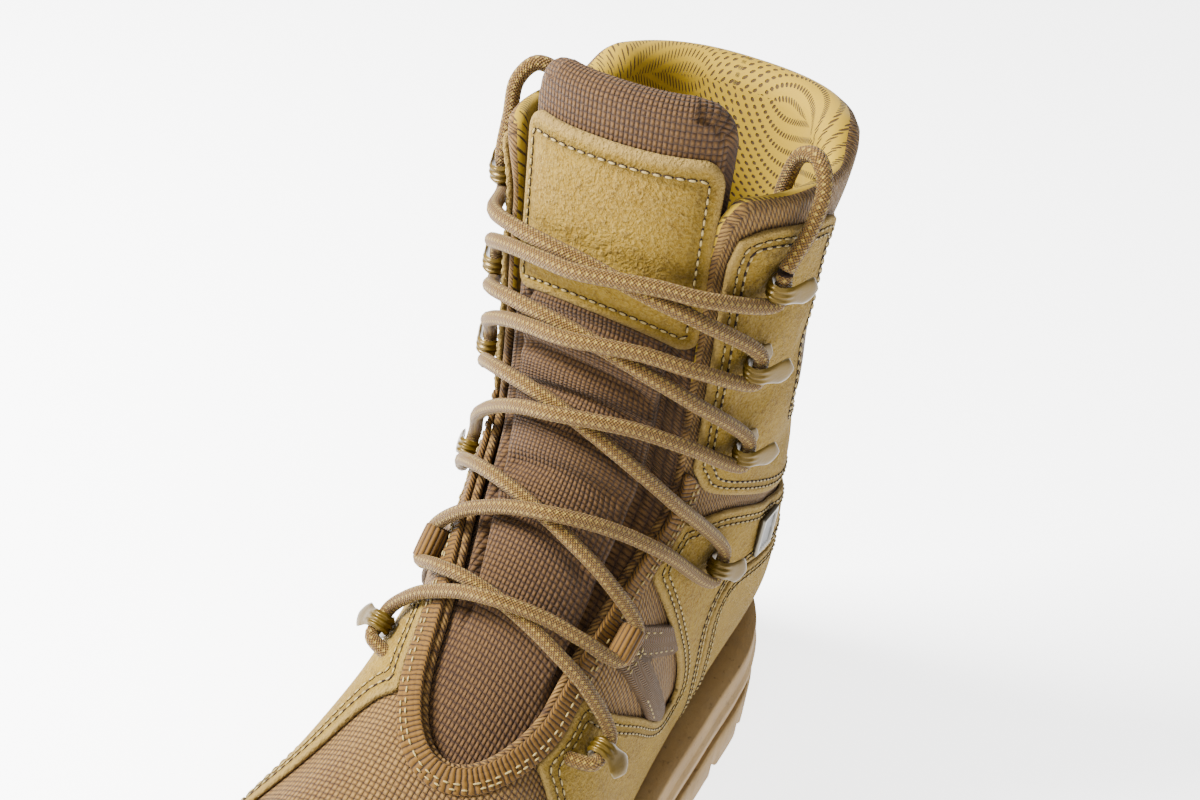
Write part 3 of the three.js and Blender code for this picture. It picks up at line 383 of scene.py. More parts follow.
def start_material(name, roughness, **sockets):
    material = bpy.data.materials.new(name)
    material.use_nodes = True
    shader = material.node_tree.nodes["Principled BSDF"]
    shader.inputs["Roughness"].default_value = roughness
    shader.inputs["Specular IOR Level"].default_value = 0.22
    for key, value in sockets.items():
        shader.inputs[key.replace("_", " ")].default_value = value
    return material, material.node_tree, shader


def finish_material(tree, shader, colour_socket, height, depth):
    """Joins the colour, and a bump of a real depth in metres, to the shader."""
    tree.links.new(colour_socket, shader.inputs["Base Color"])
    bump = add_node(tree, "ShaderNodeBump", {"Strength": 1.0, "Distance": depth, "Height": height})
    tree.links.new(bump.outputs[0], shader.inputs["Normal"])


def open_group(name, inputs, outputs):
    group = bpy.data.node_groups.new(name, "ShaderNodeTree")
    for label, kind in inputs:
        group.interface.new_socket(label, in_out="INPUT", socket_type=kind)
    for label, kind in outputs:
        group.interface.new_socket(label, in_out="OUTPUT", socket_type=kind)
    start = group.nodes.new("NodeGroupInput")
    end = group.nodes.new("NodeGroupOutput")
    return group, start.outputs, end.inputs


# Mottle: soft patches and fine grain, for every worn or dusty surface
mottle_group, given, result = open_group(
    "Mottle",
    [("Patch Size", "NodeSocketFloat"), ("Grain Size", "NodeSocketFloat")],
    [("Patches", "NodeSocketFloat"), ("Grain", "NodeSocketFloat")],
)
place_node = add_node(mottle_group, "ShaderNodeTexCoord")
for size_name, result_name, detail in (("Patch Size", "Patches", 3), ("Grain Size", "Grain", 2)):
    scale = work_out(mottle_group, "DIVIDE", 1.0, given[size_name])
    noise = add_node(mottle_group, "ShaderNodeTexNoise", {
        "Vector": place_node.outputs["Object"], "Scale": scale, "Detail": detail, "Roughness": 0.6,
    })
    mottle_group.links.new(noise.outputs[0], result[result_name])


def mottle(tree, patch, grain):
    node = add_node(tree, "ShaderNodeGroup", node_tree=mottle_group)
    node.inputs["Patch Size"].default_value = patch
    node.inputs["Grain Size"].default_value = grain
    return node.outputs["Patches"], node.outputs["Grain"]


def contrast(tree, socket, low, high):
    node = add_node(tree, "ShaderNodeMapRange", {"Value": socket, "From Min": low, "From Max": high})
    return node.outputs[0]


def surface_map(tree):
    node = add_node(tree, "ShaderNodeUVMap", uv_map="surface")
    split = add_node(tree, "ShaderNodeSeparateXYZ", {"Vector": node.outputs[0]})
    return split.outputs[0], split.outputs[1]


def lace_material():
    material, tree, shader = start_material("lace_braid", 0.7, Sheen_Weight=0.05, Sheen_Roughness=0.5)
    along, around = surface_map(tree)
    lean = work_out(tree, "MULTIPLY", around, 3 * 2 * math.pi / (2 * math.pi * LACE / 2 * MM))
    rise = work_out(tree, "MULTIPLY", along, 2 * math.pi / 0.0034)
    first = work_out(tree, "SINE", work_out(tree, "ADD", rise, lean))
    second = work_out(tree, "SINE", work_out(tree, "SUBTRACT", rise, lean))
    diamond = work_out(tree, "MULTIPLY", contrast(tree, work_out(tree, "MULTIPLY", first, second), 0.3, 0.8), 0.75)
    fine_lean = work_out(tree, "MULTIPLY", lean, 2.0)
    fine_rise = work_out(tree, "MULTIPLY", rise, 2.0)
    strands = work_out(tree, "ABSOLUTE", work_out(
        tree, "SINE", work_out(tree, "ADD", fine_rise, fine_lean)))
    other = work_out(tree, "ABSOLUTE", work_out(
        tree, "SINE", work_out(tree, "SUBTRACT", fine_rise, fine_lean)))
    braid = work_out(tree, "MULTIPLY", strands, other)
    patches, _ = mottle(tree, 0.012, 0.0006)
    ground = blend_colours(tree, patches, colour("#8f7040"), colour("#a48350"))
    # Painted shade: the gaps between the braid's strands are darkened towards #3c2a13.
    ground = blend_colours(tree, contrast(tree, braid, 0.0, 0.35), colour("#3c2a13"), ground)
    shade = blend_colours(tree, diamond, ground, colour("#dcc288"))
    finish_material(tree, shader, shade, braid, 0.0003)
    return material


braid_finish = lace_material()
for piece, route, hook_pair, nodes in (
    (lateral_cord, into_lateral, 0, ["lace_end_lateral"]),
    (medial_cord, into_medial, 1, ["lace_end_medial"]),
):
    piece.data.materials.append(braid_finish)
    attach(piece, "root")
    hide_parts(*nodes)
lace.data.materials.append(braid_finish)
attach(lace, "root")
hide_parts("lace_bar", *(f"lace_crossing_{number}" for number in range(1, 6)))

# Upper and vamp
# Coarse woven nylon, sewn to shape over the last, with a padded, rounded collar. Knitted spacer
# mesh lines it and shows on the collar's roll. Soft creases are placed where it bends.
UPPER_FACE = -1.9
WALL = 2.4
COLLAR_PAD = 7.5
THROAT_TOE, THROAT_ROUND = 6.95, 1.1
# station, medial edge and lateral edge of the throat, as shares of half the ball's width
THROAT = np.array([
    [7, -0.08, 0.5], [8, -0.16, 0.53], [9, -0.28, 0.53], [10, -0.41, 0.55], [11, -0.51, 0.58],
    [12, -0.57, 0.6], [14, -0.58, 0.6], [16, -0.58, 0.6], [16.6, -0.59, 0.62], [17, -0.64, 0.68],
    [17.5, -0.76, 0.84], [18.5, -0.95, 1.05],
])
# start and end of each crease, then how wide and deep it is; a negative depth is a ridge
CREASES = [
    ((48, 52, 40), (36, 8, 96), 6, 1.3), ((60, 50, 34), (50, 0, 88), 6, 1.1),
    ((66, -46, 36), (54, 4, 86), 6, 1.0), ((28, 50, 44), (22, 30, 84), 6, -0.9),
    ((-66, 44, 52), (-44, 40, 108), 6, 1.3), ((-54, 44, 60), (-30, 38, 100), 6, -0.8),
    ((-128, 22, 128), (-96, 43, 112), 6, 1.4), ((-132, 10, 116), (-100, 43, 100), 5, -0.8),
    ((-118, 30, 150), (-92, 42, 140), 7, 1.2), ((-112, 34, 176), (-88, 42, 182), 8, 1.2),
    ((-96, 43, 150), (-92, 43, 212), 9, -0.9), ((-116, 26, 204), (-98, 40, 214), 7, 1.0),
    ((-66, 38, 176), (-84, 42, 172), 6, 0.9), ((-66, 38, 204), (-82, 42, 202), 5, 0.8),
    ((-66, -40, 52), (-44, -36, 108), 6, 1.2), ((-128, -22, 128), (-96, -39, 112), 6, 1.4),
    ((-112, -30, 176), (-88, -38, 182), 8, 1.2), ((-96, -38, 150), (-92, -38, 212), 9, -0.9),
    ((-66, -36, 176), (-84, -38, 172), 6, 0.8), ((-136, 0, 150), (-124, 20, 158), 7, 1.2),
    ((-136, 0, 190), (-120, -24, 196), 8, 1.1), ((40, -46, 42), (28, -20, 92), 6, 1.2),
    ((-20, 44, 46), (-16, 36, 88), 8, 0.9), ((8, -42, 46), (4, -28, 96), 7, 0.9),
]
# rows and columns of the grid that every layer is cut from
GRID_ROWS = 231
GRID_COLUMNS = 217
TOE_ROWS = 6


def creased(points):
    lift = np.zeros(points.shape[:-1])
    for start, end, width, depth in CREASES:
        start, end = np.array(start, float), np.array(end, float)
        run = end - start
        share = np.clip(((points - start) @ run) / (run @ run), 0, 1)
        gap = np.linalg.norm(points - (start + share[..., None] * run), axis=-1)
        fade = smooth(share * 4) * smooth((1 - share) * 4) * 0.7 + 0.3
        lift -= depth * fade * np.exp(-((gap / width) ** 2))
    return lift


def last_grid():
    """Places, directions, stations and surface maps of the grid over the whole last."""
    stations = np.linspace(0, COLLAR_STATION, GRID_ROWS)
    fine = np.linspace(0, math.pi, 721)
    columns = GRID_COLUMNS // 2
    angles = np.zeros((GRID_ROWS, GRID_COLUMNS))
    for row, station in enumerate(stations):
        for half, offset in ((0, 0), (1, math.pi)):
            line = last_point(station, fine + offset)
            reach = np.r_[0, np.cumsum(np.linalg.norm(np.diff(line, axis=0), axis=1))]
            spread = np.interp(np.linspace(0, reach[-1], columns + 1), reach, fine + offset)
            angles[row, half * columns:half * columns + columns + 1] = spread
    stations = np.repeat(stations[:, None], GRID_COLUMNS, 1)
    places = last_point(stations, angles)
    directions = last_normal(stations, angles)
    directions[:, -1] = directions[:, 0]
    middle = places[0].mean(0)
    shares = np.linspace(0, 1, TOE_ROWS + 1)[:-1][:, None, None]
    cap = middle + (places[0] - middle) * shares
    cap[..., 0] += 1.6 * (1 - shares[..., 0] ** 2)
    cap_directions = unit(mix(np.array([1.0, 0, 0]), directions[:1], shares ** 2))
    places = np.concatenate([cap, places])
    directions = np.concatenate([cap_directions, directions])
    stations = np.concatenate([np.zeros((TOE_ROWS, GRID_COLUMNS)), stations])
    angles = np.concatenate([np.repeat(angles[:1], TOE_ROWS, 0), angles])
    around = np.cumsum(np.linalg.norm(np.diff(places, axis=1), axis=2), axis=1)
    around = np.concatenate([np.zeros((len(places), 1)), around], 1)
    around -= around[:, columns:columns + 1]
    along = np.cumsum(np.linalg.norm(np.diff(places, axis=0), axis=2), axis=0)
    along = np.concatenate([np.zeros((1, GRID_COLUMNS)), along])
    along -= along[len(along) // 2]
    return places, directions, stations, angles, np.stack([around, along], -1)


grid_places, grid_out, grid_station, grid_angle, grid_map = last_grid()
grid_x, grid_y, grid_z = (grid_places[..., axis] for axis in range(3))
outer_side = grid_y > 0
crease_lift = creased(grid_places)
swell_lift = collar_swell(grid_station)


def throat_line():
    """The throat's edge from the outer collar round its toe end to the inner collar."""
    stations = np.concatenate([
        THROAT_TOE + THROAT_ROUND * np.linspace(0, 1, 60) ** 2,
        np.linspace(THROAT_TOE + THROAT_ROUND + 0.03, 17.6, 320),
    ])
    share = np.clip((stations - THROAT_TOE) / THROAT_ROUND, 0, 1)
    opened = np.sqrt(1 - (1 - share) ** 2)
    medial, lateral = (np.interp(stations, THROAT[:, 0], THROAT[:, column]) * BALL_HALF for column in (1, 2))
    centre, reach = (lateral + medial) / 2, (lateral - medial) / 2 * opened
    outside = front_point(stations, centre + reach, 0.0)
    inside = front_point(stations, centre - reach, 0.0)
    return np.concatenate([outside[::-1], inside[1:]])


def throat_distance():
    """Distance to the throat's edge over the grid, below 0 in the opening, and place along it."""
    line = throat_line()
    reach = np.r_[0, np.cumsum(np.linalg.norm(np.diff(line, axis=0), axis=1))]
    dense = np.arange(0, reach[-1], 0.3)
    spots = np.stack([np.interp(dense, reach, line[:, axis]) for axis in range(3)], 1)
    tree = KDTree(len(spots))
    for index, spot in enumerate(spots):
        tree.insert(spot, index)
    tree.balance()
    found = [tree.find(place) for place in grid_places.reshape(-1, 3)]
    gap = np.array([hit[2] for hit in found]).reshape(grid_x.shape)
    place = dense[[hit[1] for hit in found]].reshape(grid_x.shape)
    share = np.clip((grid_station - THROAT_TOE) / THROAT_ROUND, 0, 1)
    opened = np.sqrt(1 - (1 - share) ** 2)
    medial, lateral = (
        np.interp(grid_station, THROAT[:, 0], THROAT[:, column]) * BALL_HALF for column in (1, 2))
    centre, half = (lateral + medial) / 2, (lateral - medial) / 2 * opened
    open_here = (grid_station > THROAT_TOE) & (np.abs(grid_y - centre) < half) & (np.cos(grid_angle) < 0)
    return np.where(open_here, -gap, gap), place


throat_gap, throat_place = throat_distance()


def sheet(name, field, level, outer, inner, surface, wrapped, profile, finishes=(0, 1, 1), edge=None):
    """Cuts a layer out of a grid where the field is over a level, and closes it round its rim.

    outer and inner are the two faces' points. profile is the rim, as pairs of the share of the way
    in and the push outwards, a share of the thickness. wrapped joins the grid's first and last
    columns. Returns the mesh.
    """
    rows, columns = field.shape
    number = np.arange(rows * columns).reshape(rows, columns)
    kept = field > level
    corners = np.stack([number[:-1, :-1], number[:-1, 1:], number[1:, 1:], number[1:, :-1]], -1)
    corners = corners.reshape(-1, 4)
    inside = kept.ravel()[corners]
    whole = inside.all(1)
    partly = inside.any(1) & ~whole
    flat = field.ravel()
    first, second, share = list(number.ravel()), list(number.ravel()), [0.0] * number.size
    cut_numbers = {}

    def cut_between(a, b):
        key = (min(a, b), max(a, b))
        if key not in cut_numbers:
            cut_numbers[key] = len(first)
            first.append(key[0])
            second.append(key[1])
            share.append((level - flat[key[0]]) / (flat[key[1]] - flat[key[0]]))
        return cut_numbers[key]

    faces = [tuple(face) for face in corners[whole].tolist()]
    for face, flags in zip(corners[partly].tolist(), inside[partly].tolist()):
        made = []
        for index in range(4):
            after = (index + 1) % 4
            if flags[index]:
                made.append(face[index])
            if flags[index] != flags[after]:
                made.append(cut_between(face[index], face[after]))
        if len(made) > 2:
            faces.append(tuple(made))
    first, second, share = np.array(first), np.array(second), np.array(share)[:, None]

    def spread(values):
        values = values.reshape(rows * columns, -1)
        return values[first] + (values[second] - values[first]) * share

    weld = np.arange(len(first))
    if wrapped:
        weld[number[:, -1]] = number[:, 0]
        last_column = {int(b): int(a) for a, b in zip(number[:, 0], number[:, -1])}
        for (a, b), made in cut_numbers.items():
            if a in last_column and b in last_column:
                twin = cut_numbers.get((last_column[a], last_column[b]))
                weld[made] = made if twin is None else twin
    top, bottom, chart = spread(outer), spread(inner), spread(surface)
    rim_value = spread(edge if edge is not None else field).ravel()
    sizes = np.array([len(face) for face in faces])
    flat_faces = np.concatenate([np.array(face) for face in faces])
    starts = np.r_[0, np.cumsum(sizes)[:-1]]
    ends = np.arange(len(flat_faces)) + 1
    ends[starts + sizes - 1] = starts
    here, after = weld[flat_faces], weld[flat_faces[ends]]
    total = len(first)
    codes = here.astype(np.int64) * total + after
    back_codes = after.astype(np.int64) * total + here
    alone = ~np.isin(codes, back_codes) & (here != after)
    rim_from, rim_to = here[alone], after[alone]
    normal = unit(top - bottom)
    outward = np.zeros_like(top)
    push = np.cross(normal[rim_from], unit(top[rim_to] - top[rim_from]))
    np.add.at(outward, rim_from, push)
    np.add.at(outward, rim_to, push)
    rim_points = np.unique(np.r_[rim_from, rim_to])
    outward = unit(outward[rim_points])
    thick = np.linalg.norm(top[rim_points] - bottom[rim_points], axis=1)[:, None]
    points, edge_values = [top, bottom], [rim_value, rim_value * 0]
    layers = [dict(zip(rim_points.tolist(), rim_points.tolist()))]
    rings = [top[rim_points]]
    for depth, reach in profile:
        ring = mix(top[rim_points], bottom[rim_points], depth) + outward * thick * reach
        rings.append(ring)
        offset = 2 * total + (len(points) - 2) * len(rim_points)
        layers.append(dict(zip(rim_points.tolist(), range(offset, offset + len(rim_points)))))
        points.append(ring)
        edge_values.append(np.zeros(len(rim_points)))
    layers.append({int(point): int(point) + total for point in rim_points})
    rings.append(bottom[rim_points])
    around_rim = np.zeros((len(rings), total))
    steps = np.linalg.norm(np.diff(np.array(rings), axis=0), axis=2)
    around_rim[1:, rim_points] = np.cumsum(steps, axis=0)
    made_faces = [tuple(weld[list(face)].tolist()) for face in faces]
    made_maps = [chart[list(face)] for face in faces]
    finish = [finishes[0]] * len(faces)
    for face in faces:
        turned = list(face)[::-1]
        made_faces.append(tuple((weld[turned] + total).tolist()))
        made_maps.append(chart[turned])
    finish += [finishes[2]] * len(faces)
    for level_index in range(len(layers) - 1):
        upper_row, lower_row = layers[level_index], layers[level_index + 1]
        for a, b in zip(rim_from.tolist(), rim_to.tolist()):
            made_faces.append((upper_row[b], upper_row[a], lower_row[a], lower_row[b]))
            near, far = around_rim[level_index], around_rim[level_index + 1]
            made_maps.append(chart[[b, a, a, b]] + [[0, near[b]], [0, near[a]], [0, far[a]], [0, far[b]]])
        finish += [finishes[1]] * len(rim_from)
    all_points = np.concatenate(points)
    used = np.unique(np.concatenate([np.array(face) for face in made_faces]))
    renumber = np.full(len(all_points), -1)
    renumber[used] = np.arange(len(used))
    clean_faces, clean_maps, clean_finish = [], [], []
    for face, chart_part, finish_index in zip(made_faces, made_maps, finish):
        kept_corners = [i for i in range(len(face)) if face[i] != face[(i + 1) % len(face)]][::-1]
        if len(set(face)) < 3 or len(kept_corners) < 3:
            continue
        clean_faces.append(tuple(renumber[[face[i] for i in kept_corners]].tolist()))
        clean_maps.append(chart_part[kept_corners])
        clean_finish.append(finish_index)
    return make_mesh(name, all_points[used], clean_faces, np.concatenate(clean_maps), clean_finish,
                     np.concatenate(edge_values)[used])


def closed_outline(points, steps=6):
    """Smooth closed outline through given corners."""
    points = np.asarray(points, float)
    count = len(points)
    looped = [points[(index + step) % count] for index in range(count) for step in (-1, 0, 1, 2)]
    made = []
    for index in range(count):
        before, start, end, after = looped[4 * index:4 * index + 4]
        spans = [max(np.linalg.norm(b - a) ** 0.5, 1e-6)
                 for a, b in ((before, start), (start, end), (end, after))]
        leave = ((start - before) / spans[0] - (end - before) / (spans[0] + spans[1])
                 + (end - start) / spans[1]) * spans[1]
        arrive = ((end - start) / spans[1] - (after - start) / (spans[1] + spans[2])
                  + (after - end) / spans[2]) * spans[1]
        for share in np.arange(steps) / steps:
            square = -3 * start + 3 * end - 2 * leave - arrive
            cubic = 2 * start - 2 * end + leave + arrive
            made.append(start + leave * share + square * share ** 2 + cubic * share ** 3)
    return np.array(made)


def outline_distance(outline, across, up):
    """How far each point lies inside a closed outline, below 0 outside it."""
    spots = np.stack([across.ravel(), up.ravel()], 1)
    nearest = np.full(len(spots), 1e9)
    inside = np.zeros(len(spots), bool)
    for start, end in zip(outline, np.roll(outline, -1, 0)):
        run = end - start
        share = np.clip(((spots - start) @ run) / max(run @ run, 1e-12), 0, 1)
        nearest = np.minimum(nearest, np.linalg.norm(spots - start - share[:, None] * run, axis=1))
        straddles = (start[1] > spots[:, 1]) != (end[1] > spots[:, 1])
        lean = (end[0] - start[0]) / (end[1] - start[1] if end[1] != start[1] else 1e-9)
        inside ^= straddles & (spots[:, 0] < start[0] + (spots[:, 1] - start[1]) * lean)
    return np.where(inside, nearest, -nearest).reshape(across.shape)


def side_outline(points):
    return closed_outline([(x * LAST_HALF, z * COLLAR_FRONT) for x, z in points])


QUARTER = side_outline([
    (-0.3, 0.64), (-0.41, 0.575), (-0.52, 0.557), (-0.72, 0.495), (-0.9, 0.46), (-1.15, 0.45),
    (-1.15, 0.36), (-0.95, 0.368), (-0.75, 0.393), (-0.6, 0.412), (-0.535, 0.38), (-0.525, 0.3),
    (-0.53, 0.2), (-0.535, 0.02), (0.15, 0.02), (0.14, 0.2), (0.1, 0.33), (0.06, 0.42),
    (0.05, 0.52), (-0.05, 0.5), (-0.12, 0.43), (-0.23, 0.36), (-0.34, 0.29), (-0.42, 0.275),
    (-0.425, 0.31), (-0.37, 0.42), (-0.32, 0.52), (-0.29, 0.58),
])
MEDIAL_QUARTER = side_outline([
    (-0.3, 0.64), (-0.41, 0.575), (-0.52, 0.557), (-0.72, 0.495), (-0.9, 0.46), (-1.15, 0.45),
    (-1.15, 0.36), (-0.95, 0.368), (-0.75, 0.393), (-0.6, 0.412), (-0.535, 0.38), (-0.525, 0.3),
    (-0.53, 0.2), (-0.535, 0.02), (0.15, 0.02), (0.14, 0.2), (0.12, 0.3), (0.36, 0.3),
    (0.3, 0.345), (0.12, 0.455), (0.06, 0.52), (-0.05, 0.52), (-0.12, 0.47), (-0.23, 0.4),
    (-0.34, 0.31), (-0.42, 0.29), (-0.43, 0.33), (-0.37, 0.42), (-0.32, 0.52), (-0.29, 0.58),
])
EYESTAY = side_outline([
    (-0.25, 0.93), (-0.385, 0.945), (-0.44, 0.958), (-0.56, 0.94), (-0.67, 0.915), (-0.69, 0.88),
    (-0.705, 0.76), (-0.715, 0.65), (-0.8, 0.63), (-1.15, 0.625), (-1.15, 0.475), (-0.9, 0.49),
    (-0.72, 0.515), (-0.54, 0.575), (-0.44, 0.615), (-0.405, 0.65), (-0.25, 0.66),
])
TOE_GUARD = side_outline([
    (0.17, 0.05), (0.15, 0.2), (0.13, 0.285), (0.22, 0.275), (0.4, 0.25), (0.58, 0.255),
    (0.7, 0.29), (0.78, 0.34), (0.86, 0.42), (1.1, 0.42), (1.15, 0.05),
])
HEEL_COUNTER = side_outline([
    (-1.15, 0.02), (-1.15, 0.345), (-0.95, 0.36), (-0.75, 0.385), (-0.6, 0.4), (-0.545, 0.37),
    (-0.535, 0.3), (-0.54, 0.2), (-0.545, 0.02),
])
CUP_LAP_BALL, CUP_LAP_HEEL, SUEDE_TUCK = 14, 9, 3


def toward_heel(x):
    return smooth((BALL_AT - x) / (BALL_AT - HEEL_AT))


def cup_rim(x):
    return seat(x) + mix(CUP_LAP_BALL, CUP_LAP_HEEL, toward_heel(x))


lateral_quarter_inside = outline_distance(QUARTER, grid_x, grid_z)
medial_quarter_inside = outline_distance(MEDIAL_QUARTER, grid_x, grid_z)
quarter_inside = np.where(outer_side, lateral_quarter_inside, medial_quarter_inside)
eyestay_inside = outline_distance(EYESTAY, grid_x, grid_z)
guard_inside = outline_distance(TOE_GUARD, grid_x, grid_z)
counter_inside = outline_distance(HEEL_COUNTER, grid_x, grid_z)
under_suede = np.maximum.reduce([quarter_inside, eyestay_inside, guard_inside, counter_inside])
cloth_puff = 1.5 * smooth(-under_suede / 9) * smooth(throat_gap / 9) * (grid_station < 16.4)

from_back = np.minimum(grid_angle, 2 * math.pi - grid_angle)
side_pad = 1 - smooth((from_back - 1.1) / 0.45)
upper_outer = UPPER_FACE + swell_lift + crease_lift + cloth_puff
upper_inner = UPPER_FACE - WALL - COLLAR_PAD * swell_lift / 2.6 * side_pad
wall_top = grid_places + grid_out * upper_outer[..., None]
wall_bottom = grid_places + grid_out * upper_inner[..., None]
above_insole = grid_z - (seat(grid_x) + 4.8)
# the roll's rounded rim rises by half the wall's thickness, more so at the padded back
roll_end = COLLAR_STATION - (upper_outer - upper_inner) / 2 / STATION_RUN * (1 - 0.9 * side_pad)
wall_field = np.minimum.reduce([throat_gap, above_insole, (roll_end - grid_station) * STATION_RUN])
ROUND_RIM = [((1 - math.cos(math.pi * t)) / 2, 0.5 * math.sin(math.pi * t))
             for t in (1 / 8, 2 / 8, 3 / 8, 4 / 8, 5 / 8, 6 / 8, 7 / 8)]
RIBBON_END = 186
THROAT_REAR = -66
SHAFT_MIDDLE = -94


def weave_group():
    group, given, result = open_group(
        "Basket weave",
        [("Across", "NodeSocketFloat"), ("Along", "NodeSocketFloat"), ("Pitch", "NodeSocketFloat")],
        [("Height", "NodeSocketFloat"), ("Over", "NodeSocketFloat")],
    )
    waves = []
    for name in ("Across", "Along"):
        share = work_out(group, "DIVIDE", given[name], given["Pitch"])
        waves.append(work_out(group, "SINE", work_out(group, "MULTIPLY", share, math.pi)))
    product = work_out(group, "MULTIPLY", waves[0], waves[1])
    over = add_node(group, "ShaderNodeMapRange", {"Value": product, "From Min": -0.1, "From Max": 0.1})
    crowns = [work_out(group, "ABSOLUTE", wave) for wave in waves]
    heights = []
    for main, other in (crowns, crowns[::-1]):
        bend = work_out(group, "MULTIPLY_ADD", other, 0.45, 0.55)
        heights.append(work_out(group, "MULTIPLY", work_out(group, "POWER", main, 0.5), bend))
    height = add_node(group, "ShaderNodeMix", {0: over.outputs[0], 2: heights[1], 3: heights[0]})
    group.links.new(height.outputs[0], result["Height"])
    group.links.new(over.outputs[0], result["Over"])
    return group


weave = weave_group()


def cloth_material(name, pitch, light, dark, thread_depth, pale_tone):
    """Coarse nylon cloth: threads from the surface map, dust and faded patches from its place, painted shade between
    the threads and a painted highlight on their crowns.
    """
    material, tree, shader = start_material(name, 0.85, Sheen_Weight=0.02, Sheen_Roughness=0.6)
    across, along = surface_map(tree)
    threads = add_node(tree, "ShaderNodeGroup",
                       {"Across": across, "Along": along, "Pitch": pitch}, node_tree=weave)
    patches, grain = mottle(tree, 0.018, 0.0011)
    ground = blend_colours(tree, contrast(tree, patches, 0.3, 0.7), colour(dark), colour(light))
    two_tone = work_out(tree, "MULTIPLY_ADD", threads.outputs["Over"], 0.22, -0.02)
    ground = blend_colours(tree, two_tone, ground, colour(pale_tone))
    # Painted shade: the low parts between the threads are darkened towards #3a281b.
    pits = contrast(tree, threads.outputs["Height"], 0.2, 0.7)
    shade = blend_colours(tree, pits, colour("#3a281b"), ground)
    # Painted highlight: the crowns of the threads are lightened towards the paler tone.
    crowns = work_out(tree, "MULTIPLY", contrast(tree, threads.outputs["Height"], 0.8, 1.0), 0.5)
    shade = blend_colours(tree, crowns, shade, colour(pale_tone))
    dust = work_out(tree, "MULTIPLY", contrast(tree, grain, 0.52, 0.75), 0.3)
    shade = blend_colours(tree, dust, shade, colour(pale_tone))
    finish_material(tree, shader, shade, threads.outputs["Height"], thread_depth)
    return material


def lining_material():
    """Knitted spacer mesh: rows of slanted slots, staggered from row to row. The slots are darkened with painted
    shade, and fine flecks of a paler yellow are a painted highlight.
    """
    material, tree, shader = start_material("lining_mesh", 0.8, Sheen_Weight=0.04, Sheen_Roughness=0.5)
    across, along = surface_map(tree)
    row = work_out(tree, "DIVIDE", along, 0.0021)
    row_number = work_out(tree, "FLOOR", row)
    step = work_out(tree, "MULTIPLY", row_number, 0.5)
    lean = work_out(tree, "MULTIPLY", work_out(tree, "FRACT", row), 0.45)
    column = work_out(tree, "ADD", work_out(tree, "DIVIDE", across, 0.0030), work_out(tree, "ADD", step, lean))
    off_column = work_out(tree, "ABSOLUTE", work_out(
        tree, "SUBTRACT", work_out(tree, "FRACT", column), 0.5))
    off_row = work_out(tree, "ABSOLUTE", work_out(tree, "SUBTRACT", work_out(tree, "FRACT", row), 0.5))
    far = work_out(tree, "ADD", work_out(tree, "POWER", work_out(tree, "MULTIPLY", off_column, 4.6), 2.0),
                   work_out(tree, "POWER", work_out(tree, "MULTIPLY", off_row, 3.0), 2.0))
    slot = contrast(tree, far, 0.55, 1.0)
    patches, grain = mottle(tree, 0.02, 0.0008)
    ground = blend_colours(tree, patches, colour("#c4a400"), colour("#deba04"))
    # Painted highlight: fine noise flecks of a paler yellow.
    ground = blend_colours(tree, work_out(tree, "MULTIPLY", grain, 0.35), ground, colour("#e4cf38"))
    # Painted shade: the slots are darkened towards #5e4a04.
    shade = blend_colours(tree, slot, colour("#5e4a04"), ground)
    finish_material(tree, shader, shade, slot, 0.0006)
    return material


shaft_cloth = cloth_material("shaft_cloth", 0.0015, "#9c7d59", "#7d6044", 0.00065, "#c8aa80")
lining = lining_material()
cloth_mesh = sheet("cloth_upper_and_vamp", wall_field, 0.02, wall_top, wall_bottom, grid_map, True,
                   ROUND_RIM, (0, 1, 1), under_suede)
# The mustard ribbon ends above the ankle, and plain cloth edges the throat below it
for polygon in cloth_mesh.polygons:
    if polygon.material_index == 1 and polygon.center.z < RIBBON_END * MM and polygon.center.x > THROAT_REAR * MM:
        polygon.material_index = 0
    # the roll's outer half is cloth, and the mesh starts on its top
    elif polygon.material_index == 1 and polygon.center.z > RIBBON_END * MM:
        away = Vector((polygon.center.x - SHAFT_MIDDLE * MM, polygon.center.y, 0)).normalized()
        if polygon.normal.dot(away) > 0.45:
            polygon.material_index = 0
cloth_piece = link("cloth_upper_and_vamp", cloth_mesh)
cloth_mesh.materials.append(shaft_cloth)
cloth_mesh.materials.append(lining)
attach(cloth_piece, "root")
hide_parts("upper", "vamp")

# Suede panels
# Toe guard, heel counter, quarters with the ankle strap, and eyestays: one layer of napped suede
# with bevelled, paler edges, sewn down with two or three rows of cream thread in pinholes of painted shade.
SUEDE = 1.6
SUEDE_RIM = [(0.06, 0.22), (0.22, 0.4), (0.5, 0.48), (0.85, 0.45)]
SUEDE_INSET = 0.8
suede_top = grid_places + grid_out * (crease_lift + swell_lift)[..., None]
suede_bottom = grid_places + grid_out * (crease_lift + swell_lift - SUEDE)[..., None]
above_cup = grid_z - (cup_rim(grid_x) - SUEDE_TUCK)
BINDING_WIDTH, LINING_EDGE = 6.5, 2.5


